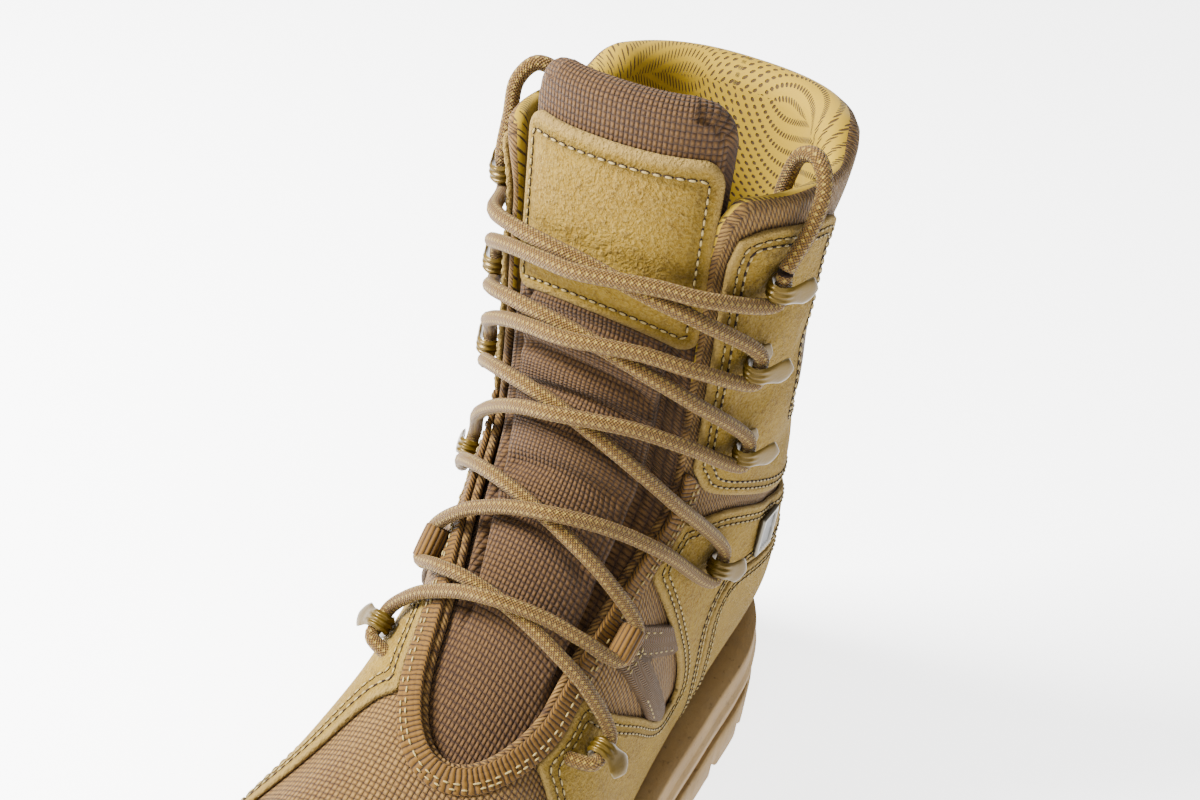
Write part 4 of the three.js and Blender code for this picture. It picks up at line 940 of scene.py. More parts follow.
def suede_material():
    material, tree, shader = start_material("suede_nap", 0.95, Sheen_Weight=0.12, Sheen_Roughness=0.45)
    shader.inputs["Sheen Tint"].default_value = colour("#d9c79a")
    patches, grain = mottle(tree, 0.022, 0.00075)
    coarse, crumbs = mottle(tree, 0.006, 0.0019)
    ground = blend_colours(tree, contrast(tree, patches, 0.3, 0.7), colour("#94794a"), colour("#ad925c"))
    ground = blend_colours(tree, work_out(tree, "MULTIPLY", contrast(tree, coarse, 0.35, 0.7), 0.4),
                           ground, colour("#bda26c"))
    speck = work_out(tree, "MULTIPLY", contrast(tree, crumbs, 0.52, 0.72), 0.6)
    ground = blend_colours(tree, speck, ground, colour("#66502a"))
    nap = work_out(tree, "MULTIPLY", contrast(tree, grain, 0.42, 0.66), 0.62)
    ground = blend_colours(tree, nap, ground, colour("#cdb482"))
    edge = add_node(tree, "ShaderNodeAttribute", attribute_name="edge").outputs["Fac"]
    pale_tone = work_out(tree, "MULTIPLY", contrast(tree, edge, 1.9, 0.5), 0.6)
    shade = blend_colours(tree, pale_tone, ground, colour("#c5ad84"))
    # Painted shade: the groove between the two seam rows is darkened towards #7b6638, and sunk as a bump.
    seam_gap = work_out(tree, "ABSOLUTE", work_out(tree, "SUBTRACT", edge, 3.7))
    sunk = work_out(tree, "MULTIPLY", contrast(tree, seam_gap, 1.9, 0.6), 0.35)
    shade = blend_colours(tree, sunk, shade, colour("#7b6638"))
    height = work_out(tree, "ADD", work_out(tree, "MULTIPLY", grain, 0.55),
                      work_out(tree, "MULTIPLY", crumbs, 0.6))
    height = work_out(tree, "SUBTRACT", height, work_out(tree, "MULTIPLY", sunk, 1.6))
    finish_material(tree, shader, shade, height, 0.0014)
    return material


suede = suede_material()
lateral_half = grid_y - 0.15
medial_half = -grid_y - 0.15
clear_of_quarter = -quarter_inside - 0.5
quarter_limits = np.minimum(throat_gap - BINDING_WIDTH - 0.3, above_cup)
SUEDE_PIECES = [
    ("suede_toe_guard", "toe_guard", np.minimum(guard_inside, clear_of_quarter), above_cup),
    ("suede_heel_counter", "heel_counter", np.minimum(counter_inside, clear_of_quarter), above_cup),
    ("suede_quarter_outer", "quarter_lateral",
     np.minimum.reduce([lateral_quarter_inside, throat_gap - BINDING_WIDTH - 0.3]),
     np.minimum(above_cup, lateral_half)),
    ("suede_quarter_inner", "quarter_medial",
     np.minimum.reduce([medial_quarter_inside, throat_gap - BINDING_WIDTH - 0.3]),
     np.minimum(above_cup, medial_half)),
    ("suede_eyestay_outer", "eyestay_lateral",
     np.minimum(eyestay_inside, throat_gap - LINING_EDGE), lateral_half),
    ("suede_eyestay_inner", "eyestay_medial",
     np.minimum(eyestay_inside, throat_gap - LINING_EDGE), medial_half),
]
for name, node, field, limit in SUEDE_PIECES:
    mesh = sheet(name, np.minimum(field, limit + SUEDE_INSET), SUEDE_INSET, suede_top, suede_bottom,
                 grid_map, True, SUEDE_RIM, (0, 0, 0), field)
    piece = link(name, mesh)
    mesh.materials.append(suede)
    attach(piece, "root")
    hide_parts(node)

# Stitches
# Rows of waxed cream thread that follow the panels' edges. Each stitch lies between two pinholes of
# painted shade. The rows are lines on the grid, and Geometry Nodes sets the stitches along them.
STITCH_PITCH, STITCH_LENGTH, THREAD = 2.9, 1.9, 0.62
SEAM_ROWS = (2.6, 4.7)


def seam_line(field, level, mask, heights):
    """Points and edges of one seam row, where the field has a level on the grid."""
    rows, columns = field.shape
    number = np.arange(rows * columns).reshape(rows, columns)
    surface = (grid_places + grid_out * heights[..., None]).reshape(-1, 3)
    flat = field.ravel()
    corners = np.stack([number[:-1, :-1], number[:-1, 1:], number[1:, 1:], number[1:, :-1]], -1)
    corners = corners.reshape(-1, 4)
    values = flat[corners]
    usable = mask.ravel()[corners].all(1) & (values.max(1) > level) & (values.min(1) < level)
    points, numbers, edges = [], {}, []
    for face in corners[usable].tolist():
        crossed = []
        for index in range(4):
            a, b = face[index], face[(index + 1) % 4]
            if (flat[a] > level) != (flat[b] > level):
                key = (min(a, b), max(a, b))
                if key not in numbers:
                    numbers[key] = len(points)
                    share = (level - flat[key[0]]) / (flat[key[1]] - flat[key[0]])
                    points.append(mix(surface[key[0]], surface[key[1]], share))
                crossed.append(numbers[key])
        if len(crossed) == 2:
            edges.append(tuple(crossed))
    return points, edges


def stitch_tree():
    """Sets one rounded stitch at every pitch along the lines of a mesh."""
    group = bpy.data.node_groups.new("Stitches along lines", "GeometryNodeTree")
    sockets = {}
    for label, kind in (("Lines", "NodeSocketGeometry"), ("Pitch", "NodeSocketFloat"),
                        ("Length", "NodeSocketFloat"), ("Thickness", "NodeSocketFloat"),
                        ("Finish", "NodeSocketMaterial")):
        sockets[label] = group.interface.new_socket(label, in_out="INPUT", socket_type=kind)
    group.interface.new_socket("Stitches", in_out="OUTPUT", socket_type="NodeSocketGeometry")
    given = group.nodes.new("NodeGroupInput").outputs
    end = group.nodes.new("NodeGroupOutput")
    curve = add_node(group, "GeometryNodeMeshToCurve", {"Mesh": given["Lines"]})
    spots = add_node(group, "GeometryNodeCurveToPoints",
                     {"Curve": curve.outputs[0], "Length": given["Pitch"]}, mode="LENGTH")
    bead = add_node(group, "GeometryNodeMeshUVSphere", {"Segments": 6, "Rings": 4, "Radius": 0.5})
    size = add_node(group, "ShaderNodeCombineXYZ",
                    {0: given["Thickness"], 1: given["Thickness"], 2: given["Length"]})
    stretched = add_node(group, "GeometryNodeTransform",
                         {"Geometry": bead.outputs[0], "Scale": size.outputs[0]})
    placed = add_node(group, "GeometryNodeInstanceOnPoints", {
        "Points": spots.outputs["Points"], "Instance": stretched.outputs[0],
        "Rotation": spots.outputs["Rotation"],
    })
    real = add_node(group, "GeometryNodeRealizeInstances", {"Geometry": placed.outputs[0]})
    dressed = add_node(group, "GeometryNodeSetMaterial",
                       {"Geometry": real.outputs[0], "Material": given["Finish"]})
    group.links.new(dressed.outputs[0], end.inputs[0])
    return group, {label: socket.identifier for label, socket in sockets.items()}


stitches_group, stitch_inputs = stitch_tree()


def plain_material(name, hex_value, second, roughness, **sockets):
    material, tree, shader = start_material(name, roughness, **sockets)
    patches, grain = mottle(tree, 0.004, 0.0004)
    finish_material(tree, shader, blend_colours(tree, patches, colour(hex_value), colour(second)),
                    grain, 0.00008)
    return material


thread = plain_material("cream_thread", "#c9b184", "#ead9ae", 0.6)
# Painted shade for the pinholes: a dark material for the beads laid under the stitches.
pinhole = plain_material("pinhole_shadow", "#3b2c18", "#241a0e", 0.9)


def sew(name, lines, pitch, length, thickness, finish):
    """Makes stitches along the lines, as one plain mesh."""
    points, edges = [], []
    for line_points, line_edges in lines:
        edges += [(a + len(points), b + len(points)) for a, b in line_edges]
        points += line_points
    mesh = bpy.data.meshes.new(name)
    mesh.from_pydata((np.array(points) * MM).tolist(), edges, [])
    guide = link(name + "_guide", mesh)
    modifier = guide.modifiers.new("stitches", "NODES")
    modifier.node_group = stitches_group
    for label, value in (("Pitch", pitch * MM), ("Length", length * MM), ("Thickness", thickness * MM),
                         ("Finish", finish)):
        modifier[stitch_inputs[label]] = value
    bpy.context.view_layer.update()
    evaluated = guide.evaluated_get(bpy.context.evaluated_depsgraph_get())
    made = bpy.data.meshes.new_from_object(evaluated)
    guide.modifiers.remove(modifier)
    bpy.data.objects.remove(guide)
    made.name = name
    made.polygons.foreach_set("use_smooth", np.ones(len(made.polygons), bool))
    piece = link(name, made)
    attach(piece, "root")
    return piece


suede_height = crease_lift + swell_lift
seams, seam_holes = [], []
for name, node, field, limit in SUEDE_PIECES:
    shown = (limit > 1.5) & (above_cup > SUEDE_TUCK + 1) & (grid_station > 0)
    for distance in SEAM_ROWS:
        seams.append(seam_line(field, distance, shown, suede_height + 0.22))
        seam_holes.append(seam_line(field, distance, shown, suede_height + 0.0))
sew("panel_stitches", seams, STITCH_PITCH, STITCH_LENGTH, THREAD, thread)
# Painted shade: a longer, thicker dark bead under each stitch shows as its two pinholes.
sew("panel_pinholes", seam_holes, STITCH_PITCH, STITCH_LENGTH + 0.95, 0.8, pinhole)

# Throat tape, webbing straps and ankle webbing
# Ribbed tape binds the lower throat. Two herringbone straps run from each loop into the window, and
# a band of the same webbing crosses behind the ankle. All lie under the suede's edges.
TAPE = 1.4
TAPE_RIM = [(0.1, 0.16), (0.5, 0.26), (0.9, 0.16)]
WEBBING_WIDTH = 9
STRAP_ENDS = [(-0.4 * LAST_HALF, 0.4 * COLLAR_FRONT), (-0.32 * LAST_HALF, 0.3 * COLLAR_FRONT)]
tape_lift = crease_lift + swell_lift - 0.2
tape_top = grid_places + grid_out * (tape_lift + 0.25 * smooth((throat_gap + 1) / 3))[..., None]
tape_bottom = grid_places + grid_out * (tape_lift - TAPE)[..., None]


def ribbed_material():
    material, tree, shader = start_material("ribbed_tape", 0.8, Sheen_Weight=0.03, Sheen_Roughness=0.5)
    across, along = surface_map(tree)
    ribs = work_out(tree, "ABSOLUTE", work_out(
        tree, "SINE", work_out(tree, "MULTIPLY", along, math.pi / 0.0013)))
    rows = work_out(tree, "ABSOLUTE", work_out(
        tree, "SINE", work_out(tree, "MULTIPLY", across, math.pi / 0.0016)))
    height = work_out(tree, "ADD", work_out(tree, "MULTIPLY", ribs, 0.8), work_out(tree, "MULTIPLY", rows, 0.2))
    patches, grain = mottle(tree, 0.01, 0.0006)
    ground = blend_colours(tree, patches, colour("#6e5226"), colour("#8e6c34"))
    ground = blend_colours(tree, work_out(tree, "MULTIPLY", grain, 0.3), ground, colour("#b08d4d"))
    # Painted shade: the valleys between the ribs are darkened towards #3a2a12.
    shade = blend_colours(tree, contrast(tree, ribs, 0.1, 0.6), colour("#3a2a12"), ground)
    finish_material(tree, shader, shade, height, 0.0004)
    return material


def herringbone_material():
    material, tree, shader = start_material("herringbone_webbing", 0.8, Sheen_Weight=0.02, Sheen_Roughness=0.5)
    across, along = surface_map(tree)
    fold = work_out(tree, "PINGPONG", across, 0.0016)
    slant = work_out(tree, "ADD", along, fold)
    lines = work_out(tree, "ABSOLUTE", work_out(
        tree, "SINE", work_out(tree, "MULTIPLY", slant, math.pi / 0.0011)))
    patches, grain = mottle(tree, 0.01, 0.0006)
    ground = blend_colours(tree, patches, colour("#5c4526"), colour("#735836"))
    ground = blend_colours(tree, work_out(tree, "MULTIPLY", grain, 0.3), ground, colour("#98794e"))
    # Painted shade: the grooves between the twill's slanted ridges are darkened towards #2b1d10.
    shade = blend_colours(tree, contrast(tree, lines, 0.05, 0.55), colour("#2b1d10"), ground)
    finish_material(tree, shader, shade, lines, 0.00035)
    return material


ribbed = ribbed_material()
herringbone = herringbone_material()


def strap_frame(start, end):
    run = np.array(end, float) - np.array(start, float)
    length = float(np.linalg.norm(run))
    run /= length
    across = np.array([-run[1], run[0]])
    spots = np.stack([grid_x, grid_z], -1) - np.array(start, float)
    return spots @ run, spots @ across, length


def place_piece(name, mesh, finish, node):
    piece = link(name, mesh)
    for material in finish:
        mesh.materials.append(material)
    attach(piece, "root")
    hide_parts(*node)
    return piece


strap_fields, strap_maps, strap_seams = {}, {}, []
for side, side_name, half_field in ((0, "outer", lateral_half), (1, "inner", medial_half)):
    tip = SEATS[LOOP_PAIR][side]["place"][[0, 2]]
    best, best_map = None, None
    for end in STRAP_ENDS:
        along, across, length = strap_frame(tip, end)
        field = np.minimum.reduce([
            WEBBING_WIDTH / 2 - np.abs(across), along + 1, length - along, half_field])
        chart = np.stack([across, along], -1)
        if best is None:
            best, best_map = field, chart
        else:
            nearer = field > best
            best_map = np.where(nearer[..., None], chart, best_map)
            best = np.maximum(best, field)
        clear = np.minimum.reduce([-quarter_inside, throat_gap, field])
        for place in (3.0, -3.0):
            strap_seams.append(seam_line(across, place, clear > 1.0, tape_lift + 0.75))
        strap_seams.append(seam_line(along, 9.0, clear > 0.6, tape_lift + 0.8))
        strap_seams.append(seam_line(along, 11.0, clear > 0.6, tape_lift + 0.8))
    strap_fields[side_name], strap_maps[side_name] = best, best_map

tongue_line = EYESTAY
in_strap = np.maximum(strap_fields["outer"], strap_fields["inner"])
binding_field = np.minimum.reduce([
    throat_gap, BINDING_WIDTH - throat_gap, (12.3 - grid_station) * 16, -eyestay_inside - 0.4,
    -in_strap - 0.3,
])
binding_map = np.stack([throat_gap, throat_place], -1)
binding_mesh = sheet("throat_tape", binding_field, 0.15, tape_top, tape_bottom, binding_map, True,
                     TAPE_RIM, (0, 0, 0))
place_piece("throat_tape", binding_mesh, [ribbed], ["throat_binding"])
back_band = np.array([(-0.6, 0.66), (-0.6, 0.77), (-1.2, 0.8), (-1.2, 0.7)]) * [LAST_HALF, COLLAR_FRONT]
band_field = np.minimum(outline_distance(back_band, grid_x, grid_z), -eyestay_inside - 0.4)
band_map = np.stack([grid_z, grid_map[..., 0]], -1)
band_mesh = sheet("ankle_webbing_band", band_field, 0.15, tape_top, tape_bottom, band_map, True,
                  TAPE_RIM, (0, 0, 0))
place_piece("ankle_webbing_band", band_mesh, [herringbone], ["ankle_webbing"])


def ring_band(spot, radius_out, radius_in, width, lift):
    """A band of webbing turned round the lace, with rounded edges."""
    turns = np.linspace(0, 2 * math.pi, 33)[:-1]
    middle, thick = (radius_out + radius_in) / 2, (radius_out - radius_in) / 2
    profile = [(-1, -1), (-1.12, 0), (-1, 1), (-0.5, 1.12), (0, 1.15), (0.5, 1.12), (1, 1), (1.12, 0),
               (1, -1), (0, -1)]
    points, faces, loops = [], [], []
    for turn_index, angle in enumerate(turns):
        for across, depth in profile:
            radius = middle + depth * thick
            points.append(
                spot["place"] + spot["away"] * radius * math.cos(angle)
                + spot["out"] * (lift + radius * math.sin(angle)) + spot["up"] * across * width / 2)
    count = len(profile)
    for turn_index in range(len(turns)):
        following = (turn_index + 1) % len(turns)
        for index in range(count):
            after = (index + 1) % count
            faces.append((turn_index * count + index, following * count + index,
                          following * count + after, turn_index * count + after))
            arc = [turn_index, turn_index + 1, turn_index + 1, turn_index]
            loops += [(profile[i][0] * width / 2, a * 2 * math.pi * middle / len(turns))
                      for i, a in zip((index, index, after, after), arc)]
    return points, faces, loops


def outward_faces(mesh):
    """Turns the faces of a closed mesh outwards."""
    import bmesh
    work = bmesh.new()
    work.from_mesh(mesh)
    bmesh.ops.remove_doubles(work, verts=work.verts, dist=1e-7)
    bmesh.ops.recalc_face_normals(work, faces=work.faces)
    work.to_mesh(mesh)
    work.free()
    mesh.update()


for side, side_name, node in ((0, "outer", "webbing_lateral"), (1, "inner", "webbing_medial")):
    field = np.minimum.reduce([strap_fields[side_name], -quarter_inside - 0.4, throat_gap])
    lifted = tape_top + grid_out * 0.5
    mesh = sheet(f"straps_{side_name}", field, 0.15, lifted, tape_bottom, strap_maps[side_name], True,
                 TAPE_RIM, (0, 0, 0))
    place_piece(f"straps_{side_name}", mesh, [herringbone], [node])
    points, faces, loops = ring_band(SEATS[LOOP_PAIR][side], 3.5, 2.2, WEBBING_WIDTH, 3.0)
    loop_mesh = make_mesh(f"lace_loop_{side_name}", points, faces, loops)
    outward_faces(loop_mesh)
    loop_piece = link(f"lace_loop_{side_name}", loop_mesh)
    loop_mesh.materials.append(ribbed)
    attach(loop_piece, "root")
sew("strap_stitches", strap_seams, 2.4, 1.6, 0.6, thread)
tape_seams = []
for distance in (3.9, 5.3):
    tape_seams.append(seam_line(throat_gap, distance, binding_field > 0.6, tape_lift + 0.42))
sew("tape_stitches", tape_seams, 2.6, 1.7, 0.6, thread)

# Tongue
# A padded tongue of finer cloth, sewn in under the toe end of the throat. It stands above the
# collar, with a quilted middle panel under the laces and soft gusset folds down both sides.
TONGUE_FACE, TONGUE_THICKNESS = -4.6, 8
TONGUE_SHIFT, TONGUE_TUCK, TONGUE_CLEAR = 3, 5, 3
TONGUE_TOP = COLLAR_STATION + 13 / 17
# station of each cross crease under the laces, its depth and its slant
TONGUE_CREASES = [(8.6, 1.8, 0.3), (9.8, 3.0, -0.2), (10.7, 2.2, 0.25), (11.6, 3.4, -0.3),
                  (12.5, 2.4, 0.3), (13.3, 3.4, -0.1), (14.2, 2.2, 0.25)]


def tongue_edges(station):
    share = np.clip((TONGUE_TOP - station) / 0.35, 0, 1)
    corner = 7 * (1 - np.sqrt(1 - (1 - share) ** 2))
    shaft = np.minimum(station, 14)
    tuck = mix(TONGUE_TUCK, -TONGUE_CLEAR, smooth((station - 14) / 1.2))
    low = np.interp(shaft, THROAT[:, 0], THROAT[:, 1]) * BALL_HALF - tuck + TONGUE_SHIFT
    high = np.interp(shaft, THROAT[:, 0], THROAT[:, 2]) * BALL_HALF + tuck + TONGUE_SHIFT
    return low + corner, high - corner


tongue_stations = np.r_[np.linspace(6.5, TONGUE_TOP - 0.36, 150), np.linspace(TONGUE_TOP - 0.34, TONGUE_TOP, 14)]
tongue_across = np.linspace(-1, 1, 71)
low_edge, high_edge = tongue_edges(tongue_stations)
tongue_y = mix(low_edge[:, None], high_edge[:, None], (tongue_across[None] + 1) / 2)
tongue_station = np.repeat(tongue_stations[:, None], len(tongue_across), 1)
from_middle = np.abs(tongue_across)[None] + 0 * tongue_station
on_shaft = smooth((tongue_station - 8.0) / 1.0) * (1 - smooth((tongue_station - 14.0) / 0.8))
panel = smooth((0.66 - from_middle) / 0.1)
tongue_lift = on_shaft * (3.1 * panel - 0.8 * (1 - panel))
tongue_lift -= on_shaft * 3.6 * np.exp(-(((from_middle - 0.64) / 0.05) ** 2))
tongue_lift += on_shaft * 2.2 * np.exp(-(((from_middle - 0.77) / 0.07) ** 2))
for station, depth, slant in TONGUE_CREASES:
    gap = (tongue_station - station - slant * tongue_across[None]) * 16
    tongue_lift -= depth * np.exp(-((gap / 2.4) ** 2)) * smooth((0.62 - from_middle) / 0.2) * on_shaft
edge_drop = smooth((from_middle - 0.93) / 0.07)
tongue_lift -= 1.2 * edge_drop * (1 - on_shaft)
tongue_top_face = front_point(tongue_station, tongue_y, TONGUE_FACE + tongue_lift)
tongue_back_face = front_point(tongue_station, tongue_y, TONGUE_FACE - TONGUE_THICKNESS)
tongue_map = np.stack([tongue_y, tongue_station * 16], -1)
flip = slice(None, None, -1)
tongue_mesh = sheet("tongue_padded", np.ones(tongue_station.shape), 0.5, tongue_top_face[:, flip],
                    tongue_back_face[:, flip], tongue_map[:, flip], False, ROUND_RIM, (0, 1, 2))
tongue_cloth = cloth_material("tongue_cloth", 0.00125, "#6c533c", "#533d2c", 0.0006, "#98795a")
tongue = place_piece("tongue_padded", tongue_mesh, [tongue_cloth, tongue_cloth, lining], ["tongue"])

# Tongue patch
# A bare patch of suede with rounded corners, sewn on the tongue's face with one row of stitches.
PATCH_HEIGHT, PATCH_WIDTH = 46, 54
PATCH_TOP = COLLAR_STATION + 0.35
PATCH_BOTTOM = PATCH_TOP - PATCH_HEIGHT / 16
patch_y = np.linspace(-PATCH_WIDTH / 2, PATCH_WIDTH / 2, 60)[::-1] + TONGUE_SHIFT + 1
patch_stations = np.linspace(PATCH_BOTTOM, PATCH_TOP, 52)
patch_y, patch_station = np.meshgrid(patch_y, patch_stations)
half_high = PATCH_HEIGHT / 2
off_x = np.abs(patch_y - TONGUE_SHIFT - 1) - (PATCH_WIDTH / 2 - 5)
off_z = np.abs(patch_station - (PATCH_TOP + PATCH_BOTTOM) / 2) * 16 - (half_high - 5)
patch_field = 5 - (np.hypot(np.maximum(off_x, 0), np.maximum(off_z, 0))
                   + np.minimum(np.maximum(off_x, off_z), 0))
patch_crown = 0.5 * smooth((patch_field - 3) / 6)
patch_top_face = front_point(patch_station, patch_y, TONGUE_FACE + 1.9 + patch_crown)
patch_back_face = front_point(patch_station, patch_y, TONGUE_FACE - 0.6)
patch_map = np.stack([patch_y, patch_station * 16], -1)
patch_mesh = sheet("tongue_patch_suede", patch_field, SUEDE_INSET, patch_top_face, patch_back_face,
                   patch_map, False, SUEDE_RIM, (0, 0, 0))
place_piece("tongue_patch_suede", patch_mesh, [suede], ["tongue_patch"])


def patch_seam(inset, lift):
    """The row of stitches round the patch."""
    corner = 5 - inset
    points = []
    for x_sign, z_sign, start in ((1, 1, 0), (-1, 1, 1), (-1, -1, 2), (1, -1, 3)):
        for angle in np.linspace(start, start + 1, 7) * math.pi / 2:
            points.append(((PATCH_WIDTH / 2 - 5) * x_sign + corner * math.cos(angle),
                           (half_high - 5) * z_sign + corner * math.sin(angle)))
    spots = []
    for start, end in zip(points, points[1:] + points[:1]):
        count = max(1, round(math.dist(start, end) / 1.5))
        spots += [mix(np.array(start), np.array(end), i / count) for i in range(count)]
    spots = np.array(spots)
    y = spots[:, 0] + TONGUE_SHIFT + 1
    station = (PATCH_TOP + PATCH_BOTTOM) / 2 + spots[:, 1] / 16
    line = front_point(station, y, TONGUE_FACE + 1.9 + lift)
    return [(list(line), [(i, (i + 1) % len(line)) for i in range(len(line))])]


sew("patch_stitches", patch_seam(3.2, 0.3), 2.7, 1.8, 0.65, thread)
# Painted shade: a longer, thicker dark bead under each stitch shows as its two pinholes.
sew("patch_pinholes", patch_seam(3.2, 0.08), 2.7, 2.6, 0.8, pinhole)

# Hooks
# Bent metal strips, riveted to the suede, open away from the throat. A ribbed neck holds the lace
# and the outer leaf widens to a spoon. Coyote-coloured coating over bright metal.
HOOK_STRIP = 1.3
# way along the strip in the away and out directions, and half the width there
HOOK_PATH = [
    (7.0, 0.9, 1.2), (6.4, 0.9, 2.9), (4.6, 0.9, 3.7), (2.4, 0.95, 3.5), (0.6, 1.05, 2.7), (-0.9, 1.3, 2.4),
    (-2.2, 2.1, 2.6), (-2.95, 3.3, 2.4), (-3.0, 4.6, 2.6), (-2.4, 5.9, 2.4), (-1.1, 6.9, 2.6), (0.6, 7.35, 2.7),
    (2.4, 7.7, 3.2), (4.2, 8.1, 3.75), (5.8, 8.35, 3.6), (6.7, 8.3, 2.7), (7.1, 8.2, 1.2),
]


def hook_mesh(name, spot):
    path, _ = round_curve([(u, v, w) for u, v, w in HOOK_PATH], 0.42)
    direction = unit(np.gradient(path[:, :2], axis=0))
    across_normal = np.stack([-direction[:, 1], direction[:, 0]], 1)
    steps = len(path)
    widths = np.linspace(-1, 1, 17)
    rings = []
    for index in range(steps):
        u, v, half_width = path[index]
        share = index / (steps - 1)
        ribbed_here = math.exp(-(((share - 0.47) / 0.17) ** 4))
        dish = 0.9 * float(smooth((share - 0.78) / 0.2))
        ring = []
        for face, order in ((1, widths), (-1, widths[::-1])):
            for place in order:
                rounding = (1 - abs(place) ** 4) * HOOK_STRIP / 2 * 0.92 + 0.05
                rib = 0.42 * ribbed_here * (1 - abs(place) ** 6) * (math.cos(place * 3 * math.pi) - 0.6)
                level = face * (rounding + rib * (face > 0))
                sag = dish * (place ** 2 - 0.4) * 0.8
                offset = across_normal[index] * (level - sag)
                ring.append((u + offset[0], v + offset[1], place * half_width))
        rings.append(ring)
    count = len(rings[0])
    points = []
    for ring in rings:
        for u, v, w in ring:
            points.append(spot["place"] + spot["away"] * u + spot["out"] * (v + 0.15) + spot["up"] * w)
    faces = []
    for row in range(steps - 1):
        for index in range(count):
            after = (index + 1) % count
            faces.append((row * count + index, row * count + after,
                          (row + 1) * count + after, (row + 1) * count + index))
    faces.append(tuple(range(count))[::-1])
    faces.append(tuple((steps - 1) * count + i for i in range(count)))
    spoon = smooth((np.arange(steps) / (steps - 1) - 0.72) / 0.1)
    across_edge = np.array([abs(p) for p in widths] + [abs(p) for p in widths[::-1]])
    edge = (spoon[:, None] * across_edge[None]).ravel()
    mesh = make_mesh(name, points, faces, edge=edge)
    outward_faces(mesh)
    return mesh


def hook_material():
    material, tree, shader = start_material("hook_coating", 0.42, Metallic=0.5, Coat_Weight=0.12, Coat_Roughness=0.2)
    patches, grain = mottle(tree, 0.006, 0.0009)
    edge = add_node(tree, "ShaderNodeAttribute", attribute_name="edge").outputs["Fac"]
    ground = blend_colours(tree, patches, colour("#6c5a32"), colour("#8b7544"))
    rubbed = work_out(tree, "MULTIPLY", contrast(tree, edge, 0.9, 0.99), 0.5)
    shade = blend_colours(tree, rubbed, ground, colour("#c9c0a8"))
    finish_material(tree, shader, shade, grain, 0.00006)
    return material


coating = hook_material()
for pair, spots in enumerate(SEATS):
    if pair == LOOP_PAIR:
        continue
    for spot, side_name, node_side in zip(spots, ("outer", "inner"), ("lateral", "medial")):
        name = f"hook_{side_name}_pair_{pair + 1}"
        place_piece(name, hook_mesh(name, spot), [coating], [f"hook_{node_side}_{pair + 1}"])

# Side tag
# A small plain plate on the outer ankle strap, dark inside a bright raised frame.
TAG_CENTRE = (-0.69 * LAST_HALF, 0.455 * COLLAR_FRONT)
TAG_LENGTH, TAG_HEIGHT, TAG_THICKNESS = 9, 15, 1.5
fine_angles = np.linspace(0.55, 1.75, 120)
fine_stations = np.linspace(10.6, 13.4, 160)
tag_angle, tag_station = np.meshgrid(fine_angles, fine_stations)
tag_places = last_point(tag_station, tag_angle)
tag_out = last_normal(tag_station, tag_angle)
tag_off_x = np.abs(tag_places[..., 0] - TAG_CENTRE[0]) - TAG_LENGTH / 2
tag_off_z = np.abs(tag_places[..., 2] - TAG_CENTRE[1]) - TAG_HEIGHT / 2
tag_field = -np.maximum(tag_off_x, tag_off_z)
tag_frame = smooth((1.5 - tag_field) / 0.4)
tag_top = tag_places + tag_out * (1.1 + 0.5 * tag_frame)[..., None]
tag_bottom = tag_places + tag_out * 0.0
tag_mesh = sheet("side_tag_plate", tag_field, 0.02, tag_top, tag_bottom,
                 np.stack([tag_places[..., 0], tag_places[..., 2]], -1), False, TAPE_RIM, (0, 0, 0))


def tag_material():
    material, tree, shader = start_material("tag_plate", 0.4)
    edge = add_node(tree, "ShaderNodeAttribute", attribute_name="edge").outputs["Fac"]
    frame_share = contrast(tree, edge, 1.6, 1.2)
    patches, grain = mottle(tree, 0.003, 0.0004)
    dark = blend_colours(tree, patches, colour("#26221c"), colour("#3a342a"))
    shade = blend_colours(tree, frame_share, dark, colour("#a29d92"))
    tree.links.new(frame_share, shader.inputs["Metallic"])
    finish_material(tree, shader, shade, grain, 0.00005)
    return material


place_piece("side_tag_plate", tag_mesh, [tag_material()], ["side_tag"])

# Outsole
# Moulded rubber: heel block, raised arch, toe spring and slanted lugs cut by grooves, so their
# notches show along the edge.
SOLE_LENGTH, SOLE_WIDTH = 307, 114
SOLE_HALF = SOLE_LENGTH / 2
OUTLINE = [
    (-0.5, 0, 0), (-0.487, 0.37, 0.37), (-0.452, 0.6, 0.6), (-0.385, 0.745, 0.755),
    (-0.275, 0.775, 0.79), (-0.16, 0.755, 0.81), (-0.05, 0.775, 0.875), (0.055, 0.855, 0.95),
    (0.16, 0.955, 1), (0.255, 1, 0.99), (0.34, 0.98, 0.905), (0.405, 0.89, 0.755),
    (0.452, 0.7, 0.53), (0.486, 0.4, 0.22), (0.5, 0.1, -0.1),
]
WEB_BALL, WEB_HEEL = 7, 15
ARCH_RISE, TOE_SPRING, LUG_DEPTH, LUG_GROOVE, LUG_PITCH = 8, 13, 5, 5, 21
HEEL_BREAST, TREAD_REAR, TREAD_FRONT = -0.19 * SOLE_LENGTH, 0.03 * SOLE_LENGTH, 0.27 * SOLE_LENGTH
BREAST_RUN, HEEL_BEVEL, HEEL_BEVEL_RUN = 8, 3, 10


def sole_outline(steps):
    half_width = SOLE_WIDTH / 2
    corners = [(OUTLINE[0][0] * SOLE_LENGTH, 0)]
    corners += [(at * SOLE_LENGTH, -medial * half_width) for at, medial, lateral in OUTLINE[1:-1]]
    corners.append((OUTLINE[-1][0] * SOLE_LENGTH, -OUTLINE[-1][1] * half_width))
    corners += [(at * SOLE_LENGTH, lateral * half_width) for at, medial, lateral in OUTLINE[-2:0:-1]]
    return closed_outline(corners, steps)


def split_height(x):
    return seat(x) - mix(WEB_BALL, WEB_HEEL, toward_heel(x))


